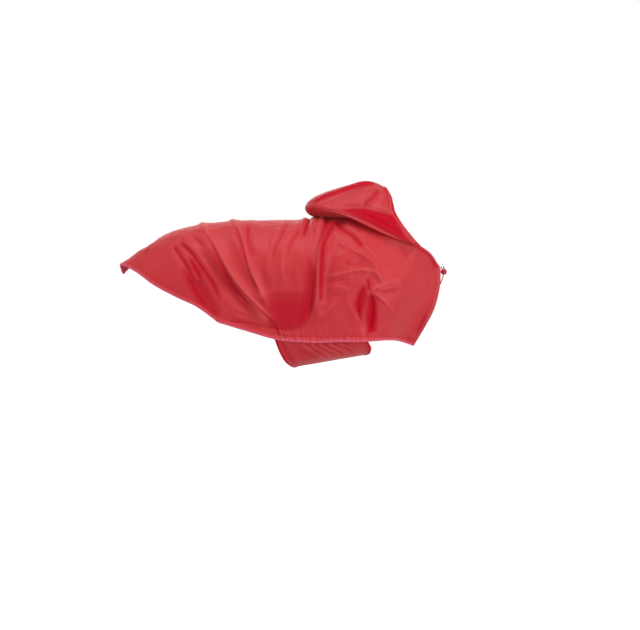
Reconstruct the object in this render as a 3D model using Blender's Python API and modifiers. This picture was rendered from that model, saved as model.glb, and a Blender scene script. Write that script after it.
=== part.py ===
"""A dog raincoat as it is worn, hollow: cape, hood folded down, belly band, hems, casings and cord.

Metres, +Z up, +X toward the head, -Y the right side. The origin is the inside of the back at the
withers, where the wearer carries the coat. Tables are in millimetres.

The cape is drawn once from the side, as four edges, and given its width by half_width(). Every hem,
casing, hood and band row is made from points of that one surface, moved out or in.
"""

import math

import bpy
import numpy as np

MM = 0.001
RIGHT, LEFT = -1, 1

CLOTH = 1.2 * MM  # one layer of nylon, as a solid wall
HEM = 2.2 * MM  # a turned hem
CASING = 3.0 * MM  # a casing with cord or elastic in it
SEAM = 0.6 * MM  # clearance between sewn pieces
CORNER = 1.5 * MM  # the same where two hems meet at an angle

REAR_HEM_WIDTH = 7 * MM
SIDE_CASING_WIDTH = 9 * MM
FRONT_HEM_WIDTH = 8 * MM  # also the neck casing's

# The four edges of the cape from the right side: (x, z) in mm.
SPINE = (
    (-458, -99), (-409, -64.5), (-345, -30.5), (-297, -20), (-243, -13.5), (-170, -12),
    (-110, -11.7), (-40, -6.9), (0, 0), (36, 6.6), (64, 16),
)
REAR_HEM = (
    (-458, -99), (-447, -100), (-430, -107), (-392, -132), (-347, -156), (-309, -174), (-265, -206),
)
SIDE_HEM = ((-265, -206), (-210, -223), (-146, -241), (-94, -245.5), (-3, -245), (86, -250), (128, -266))
NECKLINE = ((64, 16), (75, 2), (88, -16), (103, -33), (118, -47.5), (132, -58), (157, -76), (182, -107.6))
FRONT_EDGE = ((182, -107.6), (181, -144), (178, -162), (170, -190), (152, -226), (128, -266))

# The girth of a general figure: half width in mm at each x.
GIRTH = ((-460, 66), (-360, 86), (-250, 98), (-100, 107), (50, 108), (190, 102))
NECK_HALF_WIDTH = 66 * MM
NECK_REACH = 75 * MM  # how far from the neckline the coat takes to widen
BACK_ROUND, NECK_ROUND = 95 * MM, 60 * MM  # depth at which the sides hang straight
CHEST_ROUND, THROAT_ROUND = 100 * MM, 58 * MM  # the same from the centre front
FRONT_FLAT = 13 * MM  # the two front edges hang face to face over this width
FRONT_PARTING = 3.2 * MM  # half the distance between them
PARTING_REACH = 30 * MM  # how far behind the front edges that distance is felt
CHEST_SOFTNESS = 0.08  # how gently the flat front turns into the chest
HEM_DRAW, HEM_DRAW_DEPTH = 0.07, 120 * MM  # how much the elastic draws the lower sides in, and over what
FOLD_FREE = 40 * MM  # half width from which folds have their full rise

# The largest folds: side, then start, bend and end (x, z), rise and half width, all in mm.
FOLDS = (
    (RIGHT, (-300, -34), (-250, -110), (-170, -200), 5.0, 12),
    (RIGHT, (-306, -60), (-262, -130), (-196, -200), -5.0, 11),
    (RIGHT, (-240, -26), (-200, -105), (-168, -186), 4.5, 11),
    (RIGHT, (-340, -66), (-312, -118), (-270, -180), -3.5, 12),
    (RIGHT, (-124, -24), (-165, -75), (-164, -140), 3.5, 11),
    (RIGHT, (-42, -30), (-78, -90), (-72, -205), 6.0, 10),
    (RIGHT, (-30, -34), (-56, -90), (-58, -170), -5.5, 10),
    (RIGHT, (12, -60), (30, -92), (62, -128), 4.0, 10),
    (RIGHT, (30, -150), (26, -190), (26, -234), -5.0, 10),
    (RIGHT, (36, -146), (72, -140), (104, -128), 3.5, 10),
    (LEFT, (-322, -44), (-268, -110), (-180, -196), 5.0, 13),
    (LEFT, (-330, -74), (-280, -140), (-206, -202), -4.5, 11),
    (LEFT, (-214, -26), (-190, -110), (-160, -180), 4.5, 11),
    (LEFT, (-108, -24), (-140, -90), (-140, -150), 3.5, 12),
    (LEFT, (-52, -32), (-84, -110), (-96, -200), 5.5, 11),
    (LEFT, (-36, -34), (-60, -100), (-70, -180), -5.0, 10),
    (LEFT, (22, -80), (36, -120), (70, -160), 4.0, 11),
    (LEFT, (8, -140), (10, -190), (20, -232), -4.5, 10),
)

GATHERS = 34  # puckers of the elastic on each side
GATHER_START = 0.27  # where along the side hem the elastic begins
GATHER_RISE = 1.1 * MM

HOOD_END_X = 132 * MM  # where the hood's seam ends on the neckline
# Where the folded-down hood rests on the cape: share of its seam, then the cape's u and v under its fold.
HOOD_FOOT = (
    (0.00, 0.755, 0.000),
    (0.25, 0.795, 0.062),
    (0.50, 0.875, 0.135),
    (0.75, 0.940, 0.235),
    (1.00, 0.985, 0.343),
)
# The layer under the fold: share of the way from the seam to the fold, and height over the cape.
HOOD_REST = ((0.5, 3.4 * MM), (1, 3.6 * MM))
HOOD_SEAM_SHARE = 0.12  # how far back the neck casing lies under the hood
# Right half of the hood's upper layer, section by section from the nape to the end of its seam:
# (x, half width, z) in mm at each of these columns.
HOOD_LINES = ("rim", "rim_top", "hollow", "ridge", "top", "stitch_line", "free_edge")
HOOD_SECTIONS = (
    (
        0.00, (-88.5, 0, 8), (-82, 0, 25), (-58, 0, 39), (-4, 0, 55.5),
        (42, 0, 62.3), (68.5, 0, 52), (82.4, 0, 33),
    ),
    (
        0.25, (-69, 38, 9), (-67, 41, 18), (-50, 39, 26), (-10, 37, 40),
        (42, 33, 53), (71, 30, 37), (82.5, 31, 22),
    ),
    (
        0.50, (-15, 66, -0.5), (-12, 68, 6), (4, 65, 9), (24, 64, 20),
        (52, 58, 28), (75, 55, 13), (85, 55, 4),
    ),
    (
        0.75, (55, 83, -32.5), (58, 84, -26), (64, 79, -16), (72, 76, -1),
        (81, 73, 0), (91.5, 70.5, -20), (101, 69.5, -22),
    ),
    (
        1.00, (117, 76, -58.5), (118.5, 78, -56), (121, 78, -54), (123, 77.5, -53),
        (126, 76, -54), (129, 74.5, -57), (132, 73, -60),
    ),
)

# The band's tab lies inside the right side: x from and to, then the z of its rows.
TAB_X, TAB_Z = (-169, -92), (-150, -164, -178, -192, -206, -216)
TAB_CLEARANCE = 0.9 * MM
# The belly band from the right side down, under and up: y, then x and z of its rear and front borders.
BAND_ROWS = (
    (-93.5, -158, -226, -68, -223),
    (-88, -146, -243, 12, -238),
    (-80, -139, -262, 26, -256),
    (-60, -127, -285, 28, -271),
    (-30, -113, -300, 27, -280),
    (0, -105, -306, 26, -283),
    (30, -111, -300, 27, -280),
    (60, -122, -285, 28, -271),
    (80, -133, -262, 26, -256),
    (88, -138, -243, 24, -238),
    (93.5, -142, -224, 22, -218),
)
BAND_COLUMNS = 8
BAND_HEM_WIDTH = 8 * MM
BAND_HEM_START = 3  # rows past the tab at which the band's hems begin, clear of the side casing

TOGGLE_CENTRE = (188.8 * MM, 0, -116.8 * MM)
TOGGLE_RADIUS = 6.2 * MM
CORD_RADIUS = 1.1 * MM
# The drawcord's stretches that show, (x, y, z) in mm: the two strands and the end loop.
CORD_RUNS = {
    "drawcord_near": (
        (185.4, -1.85, -111.5), (184.1, -2.7, -109.4), (183.6, -3.2, -107.8), (183.1, -3.5, -106.7),
        (182.4, -3.7, -105.8),
    ),
    "drawcord_far": (
        (187.95, 0.5, -123.3), (186.9, 1.5, -128.2), (185.1, 2.4, -133.6), (183.5, 3.0, -138.2),
        (182.5, 3.3, -142.0),
    ),
    "drawcord_loop": (
        (188.9, -1.9, -110.3), (188.8, -2.7, -108.4), (188.3, -2.0, -106.6), (188.0, 0, -105.9),
        (188.3, 2.0, -106.6), (188.8, 2.7, -108.4), (188.9, 1.9, -110.3),
    ),
}

DENSE = 181  # rows and columns of the surface that the pieces are read from
TURNS = 12  # rounds in which a place on the surface is found
CAPE_COLUMNS, CAPE_ROWS = 44, 36
FRONT_CREASE_U = 0.99  # an extra column where the front edges turn flat
HEM_COLUMNS, FRONT_EDGE_ROWS = 48, 15
PLAIN_COLUMNS, COLUMNS_PER_PUCKER = 8, 4
FRONT_GAP_V = 0.002  # between the neck casing's end and the front hem, as a share of the ring
HOOD_HALF_COLUMNS, HOOD_ROWS_EACH = 14, 2
CURVE_POINTS = 200  # points of a smooth line before it is read evenly
EDGE_POINTS = 90
CORD_STEP = 2.4  # mm


# ---------------------------------------------------------------- curves


def spans(points):
    return np.concatenate([[0], np.cumsum(np.linalg.norm(np.diff(points, axis=0), axis=1))])


def hermite(knots, rows, at):
    """A smooth curve through the rows, read at the given places."""
    slopes = np.gradient(rows, knots, axis=0)
    index = np.clip(np.searchsorted(knots, at, side="right") - 1, 0, len(knots) - 2)
    step = (knots[index + 1] - knots[index])
    t = (at - knots[index]) / step
    shape = (slice(None),) + (None,) * (rows.ndim - 1)
    t, step = t[shape], step[shape]
    start, end = rows[index], rows[index + 1]
    return (
        start * (2 * t**3 - 3 * t**2 + 1)
        + slopes[index] * step * (t**3 - 2 * t**2 + t)
        + end * (3 * t**2 - 2 * t**3)
        + slopes[index + 1] * step * (t**3 - t**2)
    )


def smooth(points, count):
    rows = np.array(points, float)
    knots = spans(rows)
    return hermite(knots, rows, np.linspace(0, knots[-1], count))


def evenly(points, count):
    """The polyline read again at even steps of its own length."""
    along = spans(points)
    at = np.linspace(0, along[-1], count)
    return np.stack([np.interp(at, along, column) for column in points.T], axis=1)


def distance_to(points, line):
    """(distance, share of the line's length) from each point to the nearest place on the polyline."""
    starts, steps = line[:-1], np.diff(line, axis=0)
    along = spans(line)
    flat = points.reshape(-1, points.shape[-1])
    best, place = np.full(len(flat), np.inf), np.zeros(len(flat))
    for start, step, base in zip(starts, steps, along):
        length = np.linalg.norm(step)
        share = np.clip((flat - start) @ step / length**2, 0, 1)
        away = np.linalg.norm(flat - start - share[:, None] * step, axis=1)
        nearer = away < best
        best[nearer] = away[nearer]
        place[nearer] = (base + share[nearer] * length) / along[-1]
    return best.reshape(points.shape[:-1]), place.reshape(points.shape[:-1])


# ---------------------------------------------------------------- the coat's one surface

SHARES = np.linspace(0, 1, DENSE)
SPINE_LINE, REAR_LINE, SIDE_LINE, NECK_LINE, FRONT_LINE = (
    evenly(smooth(edge, CURVE_POINTS), EDGE_POINTS) * MM
    for edge in (SPINE, REAR_HEM, SIDE_HEM, NECKLINE, FRONT_EDGE)
)


def half_width(side_view):
    """Half the coat's width at points (x, z) of the side view: a round back and chest, and hanging sides."""
    below_spine = distance_to(side_view, SPINE_LINE)[0]
    from_front = distance_to(side_view, FRONT_LINE)[0]
    from_neck = distance_to(side_view, NECK_LINE)[0]
    girth = np.array(GIRTH) * MM
    neck = np.exp(-((from_neck / NECK_REACH) ** 2))
    width = hermite(girth[:, 0], girth[:, 1], side_view[..., 0].ravel()).reshape(neck.shape)
    width = width + (NECK_HALF_WIDTH - width) * neck
    back = BACK_ROUND + (NECK_ROUND - BACK_ROUND) * neck
    chest = CHEST_ROUND + (THROAT_ROUND - CHEST_ROUND) * neck
    over_back = np.sqrt(1 - (1 - np.clip(below_spine / back, 0, 1)) ** 2)
    turned = np.clip((from_front - FRONT_FLAT) / chest, 0, 1)
    eased = turned / (turned + CHEST_SOFTNESS) * (1 + CHEST_SOFTNESS)
    over_chest = np.sin(math.pi / 2 * turned) * eased
    drawn_in = 1 - HEM_DRAW * np.clip((below_spine - back) / HEM_DRAW_DEPTH, 0, 1) ** 2
    near_front = np.exp(-((from_front / PARTING_REACH) ** 2))
    parting = FRONT_PARTING * near_front * np.clip(below_spine / back, 0, 1)
    return width * over_back * over_chest * drawn_in + parting


def side_view_patch():
    """A grid of (x, z) between the edges: rows u from the rear hem forward, columns v from the spine down."""
    spine, hem = evenly(SPINE_LINE, DENSE), evenly(SIDE_LINE, DENSE)
    rear = evenly(REAR_LINE, DENSE)
    front = evenly(np.concatenate([NECK_LINE, FRONT_LINE[1:]]), DENSE)
    u, v = SHARES[:, None, None], SHARES[None, :, None]
    lengthwise = (1 - v) * spine[:, None] + v * hem[:, None]
    crosswise = (1 - u) * rear[None] + u * front[None]
    corners = (1 - u) * ((1 - v) * spine[0] + v * hem[0]) + u * ((1 - v) * spine[-1] + v * hem[-1])
    return lengthwise + crosswise - corners


def left_half():
    """The left half of the coat's inner face, each ring read at even steps from the spine to the hem."""
    flat = side_view_patch()
    width = half_width(flat)
    width[:, 0] = 0
    rings = np.stack([flat[..., 0], width, flat[..., 1]], axis=-1)
    return np.stack([evenly(ring, DENSE) for ring in rings])


HALF = left_half()


def facing(grid):
    normal = np.cross(np.gradient(grid, axis=0), np.gradient(grid, axis=1))
    normal[:, 0, 1] = 0
    return normal / np.linalg.norm(normal, axis=-1, keepdims=True)


FACING = facing(HALF)
# Along the front ring: the index and share of the throat, and the share at which the hood's seam ends.
THROAT = np.argmin(np.linalg.norm(HALF[-1][:, [0, 2]] - NECK_LINE[-1], axis=1))
THROAT_V = SHARES[THROAT]
HOOD_END_V = np.interp(HOOD_END_X, HALF[-1][:THROAT, 0], SHARES[:THROAT])


def read(table, u, v):
    """The table at places u, v between 0 and 1, read straight between its points."""
    row, column = np.clip(u, 0, 1) * (DENSE - 1), np.clip(v, 0, 1) * (DENSE - 1)
    i, j = np.minimum(row.astype(int), DENSE - 2), np.minimum(column.astype(int), DENSE - 2)
    a, b = (row - i)[..., None], (column - j)[..., None]
    near = table[i, j] * (1 - a) + table[i + 1, j] * a
    far = table[i, j + 1] * (1 - a) + table[i + 1, j + 1] * a
    return near * (1 - b) + far * b


def fold_rise(side_view, side):
    rise = np.zeros(side_view.shape[:-1])
    for fold_side, start, bend, end, height, width in FOLDS:
        if fold_side != side:
            continue
        t = np.linspace(0, 1, 16)[:, None]
        line = (1 - t) ** 2 * np.array(start) + 2 * t * (1 - t) * np.array(bend) + t**2 * np.array(end)
        away, place = distance_to(side_view, line * MM)
        rise += height * MM * np.exp(-((away / (width * MM)) ** 2)) * (1 - (2 * place - 1) ** 4)
    return rise


def on_coat(u, v, side, out=0.0):
    """Points of the coat at u, v on one side, moved out from its inner face by a distance."""
    point, normal = read(HALF, u, v), read(FACING, u, v)
    normal /= np.linalg.norm(normal, axis=-1, keepdims=True)
    away = fold_rise(point[..., [0, 2]], side) * np.clip(point[..., 1] / FOLD_FREE, 0, 1) + out
    point = point + normal * np.asarray(away)[..., None]
    point[..., 1] *= side
    return point


def across_coat(u, signed_v, out=0.0):
    """The same over both sides: signed_v runs from the right hem, -1, over the spine to the left hem, 1."""
    out = np.broadcast_to(out, signed_v.shape)
    right = on_coat(u, np.abs(signed_v), RIGHT, out)
    left = on_coat(u, np.abs(signed_v), LEFT, out)
    point = np.where((signed_v < 0)[..., None], right, left)
    point[..., 1] = np.where(signed_v == 0, 0, point[..., 1])
    return point


# ---------------------------------------------------------------- widths measured in from an edge

FROM_REAR = distance_to(HALF, HALF[0])[0]
FROM_FRONT = distance_to(HALF, HALF[-1])[0]
FROM_HEM = distance_to(HALF, HALF[:, -1])[0]


def rear_inset(width):
    """For each v, the u at this distance in from the rear hem."""
    half = DENSE // 2
    return np.array([np.interp(width, FROM_REAR[:half, j], SHARES[:half]) for j in range(DENSE)])


def front_inset(width):
    half = DENSE // 2
    return np.array([1 - np.interp(width, FROM_FRONT[::-1][:half, j], SHARES[:half]) for j in range(DENSE)])


def hem_inset(width):
    half = DENSE // 2
    return np.array([1 - np.interp(width, FROM_HEM[i, ::-1][:half], SHARES[:half]) for i in range(DENSE)])


def placed(share_u, share_v, u_from, u_to, v_to):
    """u and v for shares of the region between insets: u_from(v) to u_to(v), and 0 to v_to(u)."""
    u, v = share_u + 0 * share_v, share_v + 0 * share_u
    for _ in range(TURNS):
        limit = np.interp(u, SHARES, v_to)
        v = np.abs(share_v) * limit
        low, high = np.interp(v, SHARES, u_from), np.interp(v, SHARES, u_to)
        u = low + share_u * (high - low)
    return u, v * np.sign(share_v)


def places_at(x, z):
    """The u and v of points of the side view, found by turns along rows and columns."""
    u, v = np.full(x.shape, 0.5), np.full(x.shape, 0.5)
    for _ in range(TURNS):
        for k in np.ndindex(x.shape):
            column = read(HALF, SHARES, np.full(DENSE, v[k]))
            u[k] = np.interp(x[k], column[:, 0], SHARES)
            ring = read(HALF, np.full(DENSE, u[k]), SHARES)
            v[k] = np.interp(-z[k], -ring[:, 2], SHARES)
    return u, v


# ---------------------------------------------------------------- making objects


def material(name, colour, roughness, metallic=0.0):
    made = bpy.data.materials.new(name)
    made.use_nodes = True
    shader = made.node_tree.nodes["Principled BSDF"]
    shader.inputs["Base Color"].default_value = (*colour, 1)
    shader.inputs["Roughness"].default_value = roughness
    shader.inputs["Metallic"].default_value = metallic
    return made


def add_mesh(name, points, faces, finish, collection):
    mesh = bpy.data.meshes.new(name)
    mesh.from_pydata([tuple(p) for p in points], [], faces)
    mesh.materials.append(finish)
    mesh.shade_smooth()
    made = bpy.data.objects.new(name, mesh)
    collection.objects.link(made)
    return made


def sheet(name, grid, thickness, offset, finish, collection):
    """An open sheet through a grid of points, thickened to its front (offset 1), both ways (0) or back (-1)."""
    rows, columns = grid.shape[:2]
    corners = [(i * columns + j) for i in range(rows - 1) for j in range(columns - 1)]
    faces = [(k, k + columns, k + columns + 1, k + 1) for k in corners]
    made = add_mesh(name, grid.reshape(-1, 3), faces, finish, collection)
    split = made.modifiers.new("Triangles", "TRIANGULATE")
    split.quad_method = "SHORTEST_DIAGONAL"
    thick = made.modifiers.new("Wall", "SOLIDIFY")
    thick.thickness = thickness
    thick.offset = offset
    return made


# ---------------------------------------------------------------- the pieces


def cape_places():
    """u and v of the cape's own grid, inside its hems."""
    even = np.linspace(0, 1, CAPE_COLUMNS)
    share_u = np.append(even[:-1], (FRONT_CREASE_U, 1))[:, None]
    share_v = np.linspace(-1, 1, CAPE_ROWS + 1)[None]
    u_from, u_to = rear_inset(REAR_HEM_WIDTH + SEAM), front_inset(FRONT_HEM_WIDTH + SEAM)
    return placed(share_u, share_v, u_from, u_to, hem_inset(SIDE_CASING_WIDTH + SEAM))


def build_cape(finish, collection):
    sheet("cape", across_coat(*cape_places()), CLOTH, 1, finish, collection)


def cape_border(edge):
    """Where a border of the cape's grid runs: its places (v at the ends, u along the sides) and its points."""
    u, v = cape_places()
    wall_middle = across_coat(u, v, CLOTH / 2)
    if edge == "rear":
        return v[0], wall_middle[0]
    if edge == "front":
        return v[-1], wall_middle[-1]
    column = 0 if edge == RIGHT else -1
    return u[:, column], wall_middle[:, column]


def read_border(places, points, at):
    return np.stack([np.interp(at, places, column) for column in points.T], axis=-1)


def strip(inner, outer, clearance=SEAM):
    """A band of cloth from a seam's clearance off the cape's border to the outer edge."""
    toward = outer - inner
    toward /= np.linalg.norm(toward, axis=-1, keepdims=True)
    return np.stack([inner + toward * clearance, outer])


def build_rear_hem(finish, collection):
    places, points = cape_border("rear")
    share = np.linspace(-1, 1, HEM_COLUMNS + 1)
    inner = read_border(places, points, share * places[-1])
    edge_v = share * hem_inset(SIDE_CASING_WIDTH + CORNER)[0]
    outer = across_coat(np.zeros(len(share)), edge_v, CLOTH / 2)
    sheet("rear_hem", strip(inner, outer)[::-1], HEM, 0, finish, collection)


def build_neck_casing(finish, collection):
    places, points = cape_border("front")
    v = np.linspace(-THROAT_V, THROAT_V, HEM_COLUMNS + 1)
    outer = across_coat(np.ones(len(v)), v, CLOTH / 2)
    sheet("neck_casing", strip(read_border(places, points, v), outer, CORNER), CASING, 0, finish, collection)


def build_front_edge(name, side, finish, collection):
    places, points = cape_border("front")
    share = np.linspace(0, 1, FRONT_EDGE_ROWS + 1)
    start = THROAT_V + FRONT_GAP_V
    inner = read_border(places, points, side * (start + share * (places[-1] - start)))
    edge_v = start + share * (hem_inset(SIDE_CASING_WIDTH + CORNER)[-1] - start)
    outer = on_coat(np.ones(len(share)), edge_v, side, CLOTH / 2)
    grid = strip(inner, outer, CORNER)
    sheet(name, grid if side == LEFT else grid[:, ::-1], HEM, 0, finish, collection)


def build_side_casing(name, side, finish, collection):
    """The elasticated casing: plain at the rear, then drawn into puckers that grow toward its free edge."""
    plain = np.linspace(0, GATHER_START, PLAIN_COLUMNS + 1)[:-1]
    u = np.concatenate([plain, np.linspace(GATHER_START, 1, GATHERS * COLUMNS_PER_PUCKER + 1)])
    turn = 2 * math.pi * GATHERS * (u - GATHER_START) / (1 - GATHER_START)
    wave = np.sin(turn) * (u > GATHER_START)
    places, points = cape_border(side)
    past_cape = (u < places[0]) | (u > places[-1])
    own = on_coat(u, np.interp(u, SHARES, hem_inset(SIDE_CASING_WIDTH + SEAM)), side, CLOTH / 2)
    inner = np.where(past_cape[:, None], own, read_border(places, points, u))
    outer = on_coat(u, np.ones(len(u)), side, CLOTH / 2 + GATHER_RISE * wave)
    grid = strip(inner, outer)
    sheet(name, grid if side == RIGHT else grid[:, ::-1], CASING, 0, finish, collection)


def hood_lower_layer(shares):
    """Rows of the layer that lies on the cape: from the neck seam back to under the fold."""
    table = np.array(HOOD_FOOT)
    foot = hermite(table[:, 0], table[:, 1:], shares)
    seam = np.stack([np.ones(len(shares)), shares * HOOD_END_V], axis=1)
    above_casing = CLOTH / 2 + CASING / 2 + SEAM
    rows = []
    for along, above in ((0, above_casing), (HOOD_SEAM_SHARE, above_casing), *HOOD_REST):
        place = seam + along * (foot - seam)
        rows.append(on_coat(place[:, 0], place[:, 1], RIGHT, above))
    return rows


def hood_grid():
    """The hood's outer face: sections across, from one end of its seam over the nape to the other."""
    half = np.linspace(0, 1, HOOD_HALF_COLUMNS + 1)
    shares = np.array([row[0] for row in HOOD_SECTIONS])
    table = np.array([row[1:] for row in HOOD_SECTIONS], float) * MM
    mirrored = np.concatenate([table[:0:-1] * (1, -1, 1), table])
    knots = np.concatenate([-shares[:0:-1], shares])
    upper = hermite(knots, mirrored, half)
    upper[..., 1] *= RIGHT
    rows = np.stack(hood_lower_layer(half) + [upper[:, k] for k in range(len(HOOD_LINES))], axis=1)
    rows[0, :, 1] = 0
    other = rows[:0:-1] * (1, -1, 1)
    return np.concatenate([other, rows])


def build_hood(finish, hem_finish, collection):
    """The main piece ends at the stitch line, and the hem goes on from there to the free edge."""
    grid = hood_grid()
    main, hem = grid[:, :-1], grid[:, -2:].copy()
    steps = np.arange(main.shape[1], dtype=float)
    at = np.linspace(0, steps[-1], (len(steps) - 1) * HOOD_ROWS_EACH + 1)
    fine = np.stack([hermite(steps, section, at) for section in main])
    sheet("hood", fine, CLOTH, -1, finish, collection)
    along = hem[:, 1] - hem[:, 0]
    hem[:, 0] += along / np.linalg.norm(along, axis=1, keepdims=True) * CORNER
    sheet("hood_hem", hem, HEM, -1, hem_finish, collection)


def band_grid():
    """The belly band's outer face, from the top of its tab, under the belly, to the left side's hem."""
    share = np.linspace(0, 1, BAND_COLUMNS + 1)
    x = (TAB_X[0] + share * (TAB_X[1] - TAB_X[0])) * MM
    tab_x, tab_z = np.meshgrid(x, np.array(TAB_Z) * MM)
    tab = list(on_coat(*places_at(tab_x, tab_z), RIGHT, -TAB_CLEARANCE))
    rows = []
    for y, rear_x, rear_z, front_x, front_z in np.array(BAND_ROWS) * MM:
        x, z = rear_x + share * (front_x - rear_x), rear_z + share * (front_z - rear_z)
        rows.append(np.stack([x, np.full(len(share), y), z], axis=1))
    coarse = np.stack(tab + rows)
    knots = spans(coarse.mean(axis=1))
    free = knots[len(tab) - 1 :]
    at = np.unique(np.concatenate([knots, (free[1:] + free[:-1]) / 2]))
    return hermite(knots, coarse, at)


def build_band(finish, hem_finish, collection):
    """The band, and hems on its two long borders from the coat's edge down."""
    grid = band_grid()
    sheet("belly_band", grid, CLOTH, -1, finish, collection)
    hemmed = grid[len(TAB_Z) + BAND_HEM_START :]
    for name, border, inward in (("band_hem_rear", 0, 1), ("band_hem_front", -1, -2)):
        edge = hemmed[:, border]
        away = edge - hemmed[:, inward]
        away /= np.linalg.norm(away, axis=1, keepdims=True)
        pair = np.stack([edge + away * SEAM, edge + away * (SEAM + BAND_HEM_WIDTH)], axis=1)
        sheet(name, pair if border else pair[:, ::-1], HEM, -1, hem_finish, collection)


def build_toggle(finish, collection):
    bpy.ops.mesh.primitive_uv_sphere_add(
        segments=20, ring_count=12, radius=TOGGLE_RADIUS, location=TOGGLE_CENTRE
    )
    toggle = bpy.context.object
    toggle.name = "toggle"
    toggle.data.materials.append(finish)
    toggle.data.shade_smooth()
    for holder in toggle.users_collection:
        holder.objects.unlink(toggle)
    collection.objects.link(toggle)


def build_cord(name, points, finish, collection):
    fine = smooth(points, CURVE_POINTS)
    route = evenly(fine, max(4, round(spans(fine)[-1] / CORD_STEP)))
    curve = bpy.data.curves.new(name, "CURVE")
    curve.dimensions = "3D"
    curve.bevel_depth = CORD_RADIUS
    curve.bevel_resolution = 2
    curve.use_fill_caps = True
    spline = curve.splines.new("POLY")
    spline.points.add(len(route) - 1)
    for place, point in zip(spline.points, route * MM):
        place.co = (*point, 1)
    curve.materials.append(finish)
    collection.objects.link(bpy.data.objects.new(name, curve))


def main():
    for old in list(bpy.data.objects):
        bpy.data.objects.remove(old)
    collection = bpy.data.collections.new("Dog raincoat")
    bpy.context.scene.collection.children.link(collection)
    nylon = material("Red nylon", (0.58, 0.035, 0.05), 0.42)
    hemmed = material("Red nylon, turned", (0.66, 0.07, 0.12), 0.5)
    plastic = material("Red plastic", (0.45, 0.01, 0.03), 0.18)
    cord = material("Red cord", (0.55, 0.05, 0.09), 0.5)
    build_cape(nylon, collection)
    build_rear_hem(hemmed, collection)
    build_neck_casing(hemmed, collection)
    for side, word in ((RIGHT, "right"), (LEFT, "left")):
        build_front_edge(f"front_edge_{word}", side, hemmed, collection)
        build_side_casing(f"hem_casing_{word}", side, hemmed, collection)
    build_hood(nylon, hemmed, collection)
    build_band(nylon, hemmed, collection)
    build_toggle(plastic, collection)
    for name, points in CORD_RUNS.items():
        build_cord(name, points, cord, collection)


main()
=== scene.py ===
"""A red dog raincoat as it is worn, hollow: thin nylon, hood folded down, belly band, hems, cord, toggle."""

import math
import bpy
import numpy as np
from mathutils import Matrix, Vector, noise


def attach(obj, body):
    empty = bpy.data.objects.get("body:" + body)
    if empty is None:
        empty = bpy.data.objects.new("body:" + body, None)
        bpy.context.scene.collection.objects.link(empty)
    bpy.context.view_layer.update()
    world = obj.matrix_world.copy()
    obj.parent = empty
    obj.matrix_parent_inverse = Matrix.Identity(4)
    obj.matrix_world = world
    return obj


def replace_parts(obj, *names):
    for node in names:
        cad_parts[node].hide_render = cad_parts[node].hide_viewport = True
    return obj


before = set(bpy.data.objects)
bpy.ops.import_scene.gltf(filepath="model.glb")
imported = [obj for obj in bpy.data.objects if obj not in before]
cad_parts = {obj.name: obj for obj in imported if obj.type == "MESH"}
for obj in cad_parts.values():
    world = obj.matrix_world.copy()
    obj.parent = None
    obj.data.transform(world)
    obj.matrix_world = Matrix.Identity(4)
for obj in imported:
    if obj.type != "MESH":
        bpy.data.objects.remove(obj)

MM = 0.001
RIGHT, LEFT = -1, 1
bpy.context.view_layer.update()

# ---- sizes and tables: the solids' own, but for hem thicknesses, the far corner, HOOD_REST, the cord's
# four points inside the toggle, and grid sizes

CLOTH = 1.2 * MM  # the solid wall's thickness, in whose middle the cloth lies
REAR_HEM_WIDTH = 7 * MM
SIDE_CASING_WIDTH = 9 * MM
FRONT_HEM_WIDTH = 8 * MM
FRONT_HEM_THICKNESS, HEM_THICKNESS = 1.7 * MM, 1.9 * MM
SIDE_CASING_THICKNESS, NECK_CASING_THICKNESS = 2.5 * MM, 2.9 * MM
CLOTH_IN_HEM = 0.3  # the share of a hem's width at which the cloth inside it ends
SPINE = (
    (-458, -99), (-409, -64.5), (-345, -30.5), (-297, -20), (-243, -13.5), (-170, -12),
    (-110, -11.7), (-40, -6.9), (0, 0), (36, 6.6), (64, 16),
)
REAR_HEM = (
    (-458, -99), (-447, -100), (-430, -107), (-392, -132), (-347, -156), (-309, -174), (-265, -206),
)
SIDE_HEM = ((-265, -206), (-210, -223), (-146, -241), (-94, -245.5), (-3, -245), (86, -250), (128, -266))
NECKLINE = ((64, 16), (75, 2), (88, -16), (103, -33), (118, -47.5), (132, -58), (157, -76), (182, -107.6))
FRONT_EDGE = ((182, -107.6), (181, -144), (178, -162), (170, -190), (152, -226), (128, -266))
GIRTH = ((-460, 66), (-360, 86), (-250, 98), (-100, 107), (50, 108), (190, 102))
NECK_HALF_WIDTH = 66 * MM
NECK_REACH = 75 * MM
BACK_ROUND, NECK_ROUND = 95 * MM, 60 * MM
CHEST_ROUND, THROAT_ROUND = 100 * MM, 58 * MM
FRONT_FLAT = 13 * MM
FRONT_PARTING = 3.2 * MM
PARTING_REACH = 30 * MM
CORNER_X, CORNER_REACH, CORNER_DROOP = -451 * MM, 17 * MM, 21 * MM
CHEST_SOFTNESS = 0.08
HEM_DRAW, HEM_DRAW_DEPTH = 0.07, 120 * MM
FOLD_FREE = 40 * MM

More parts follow.
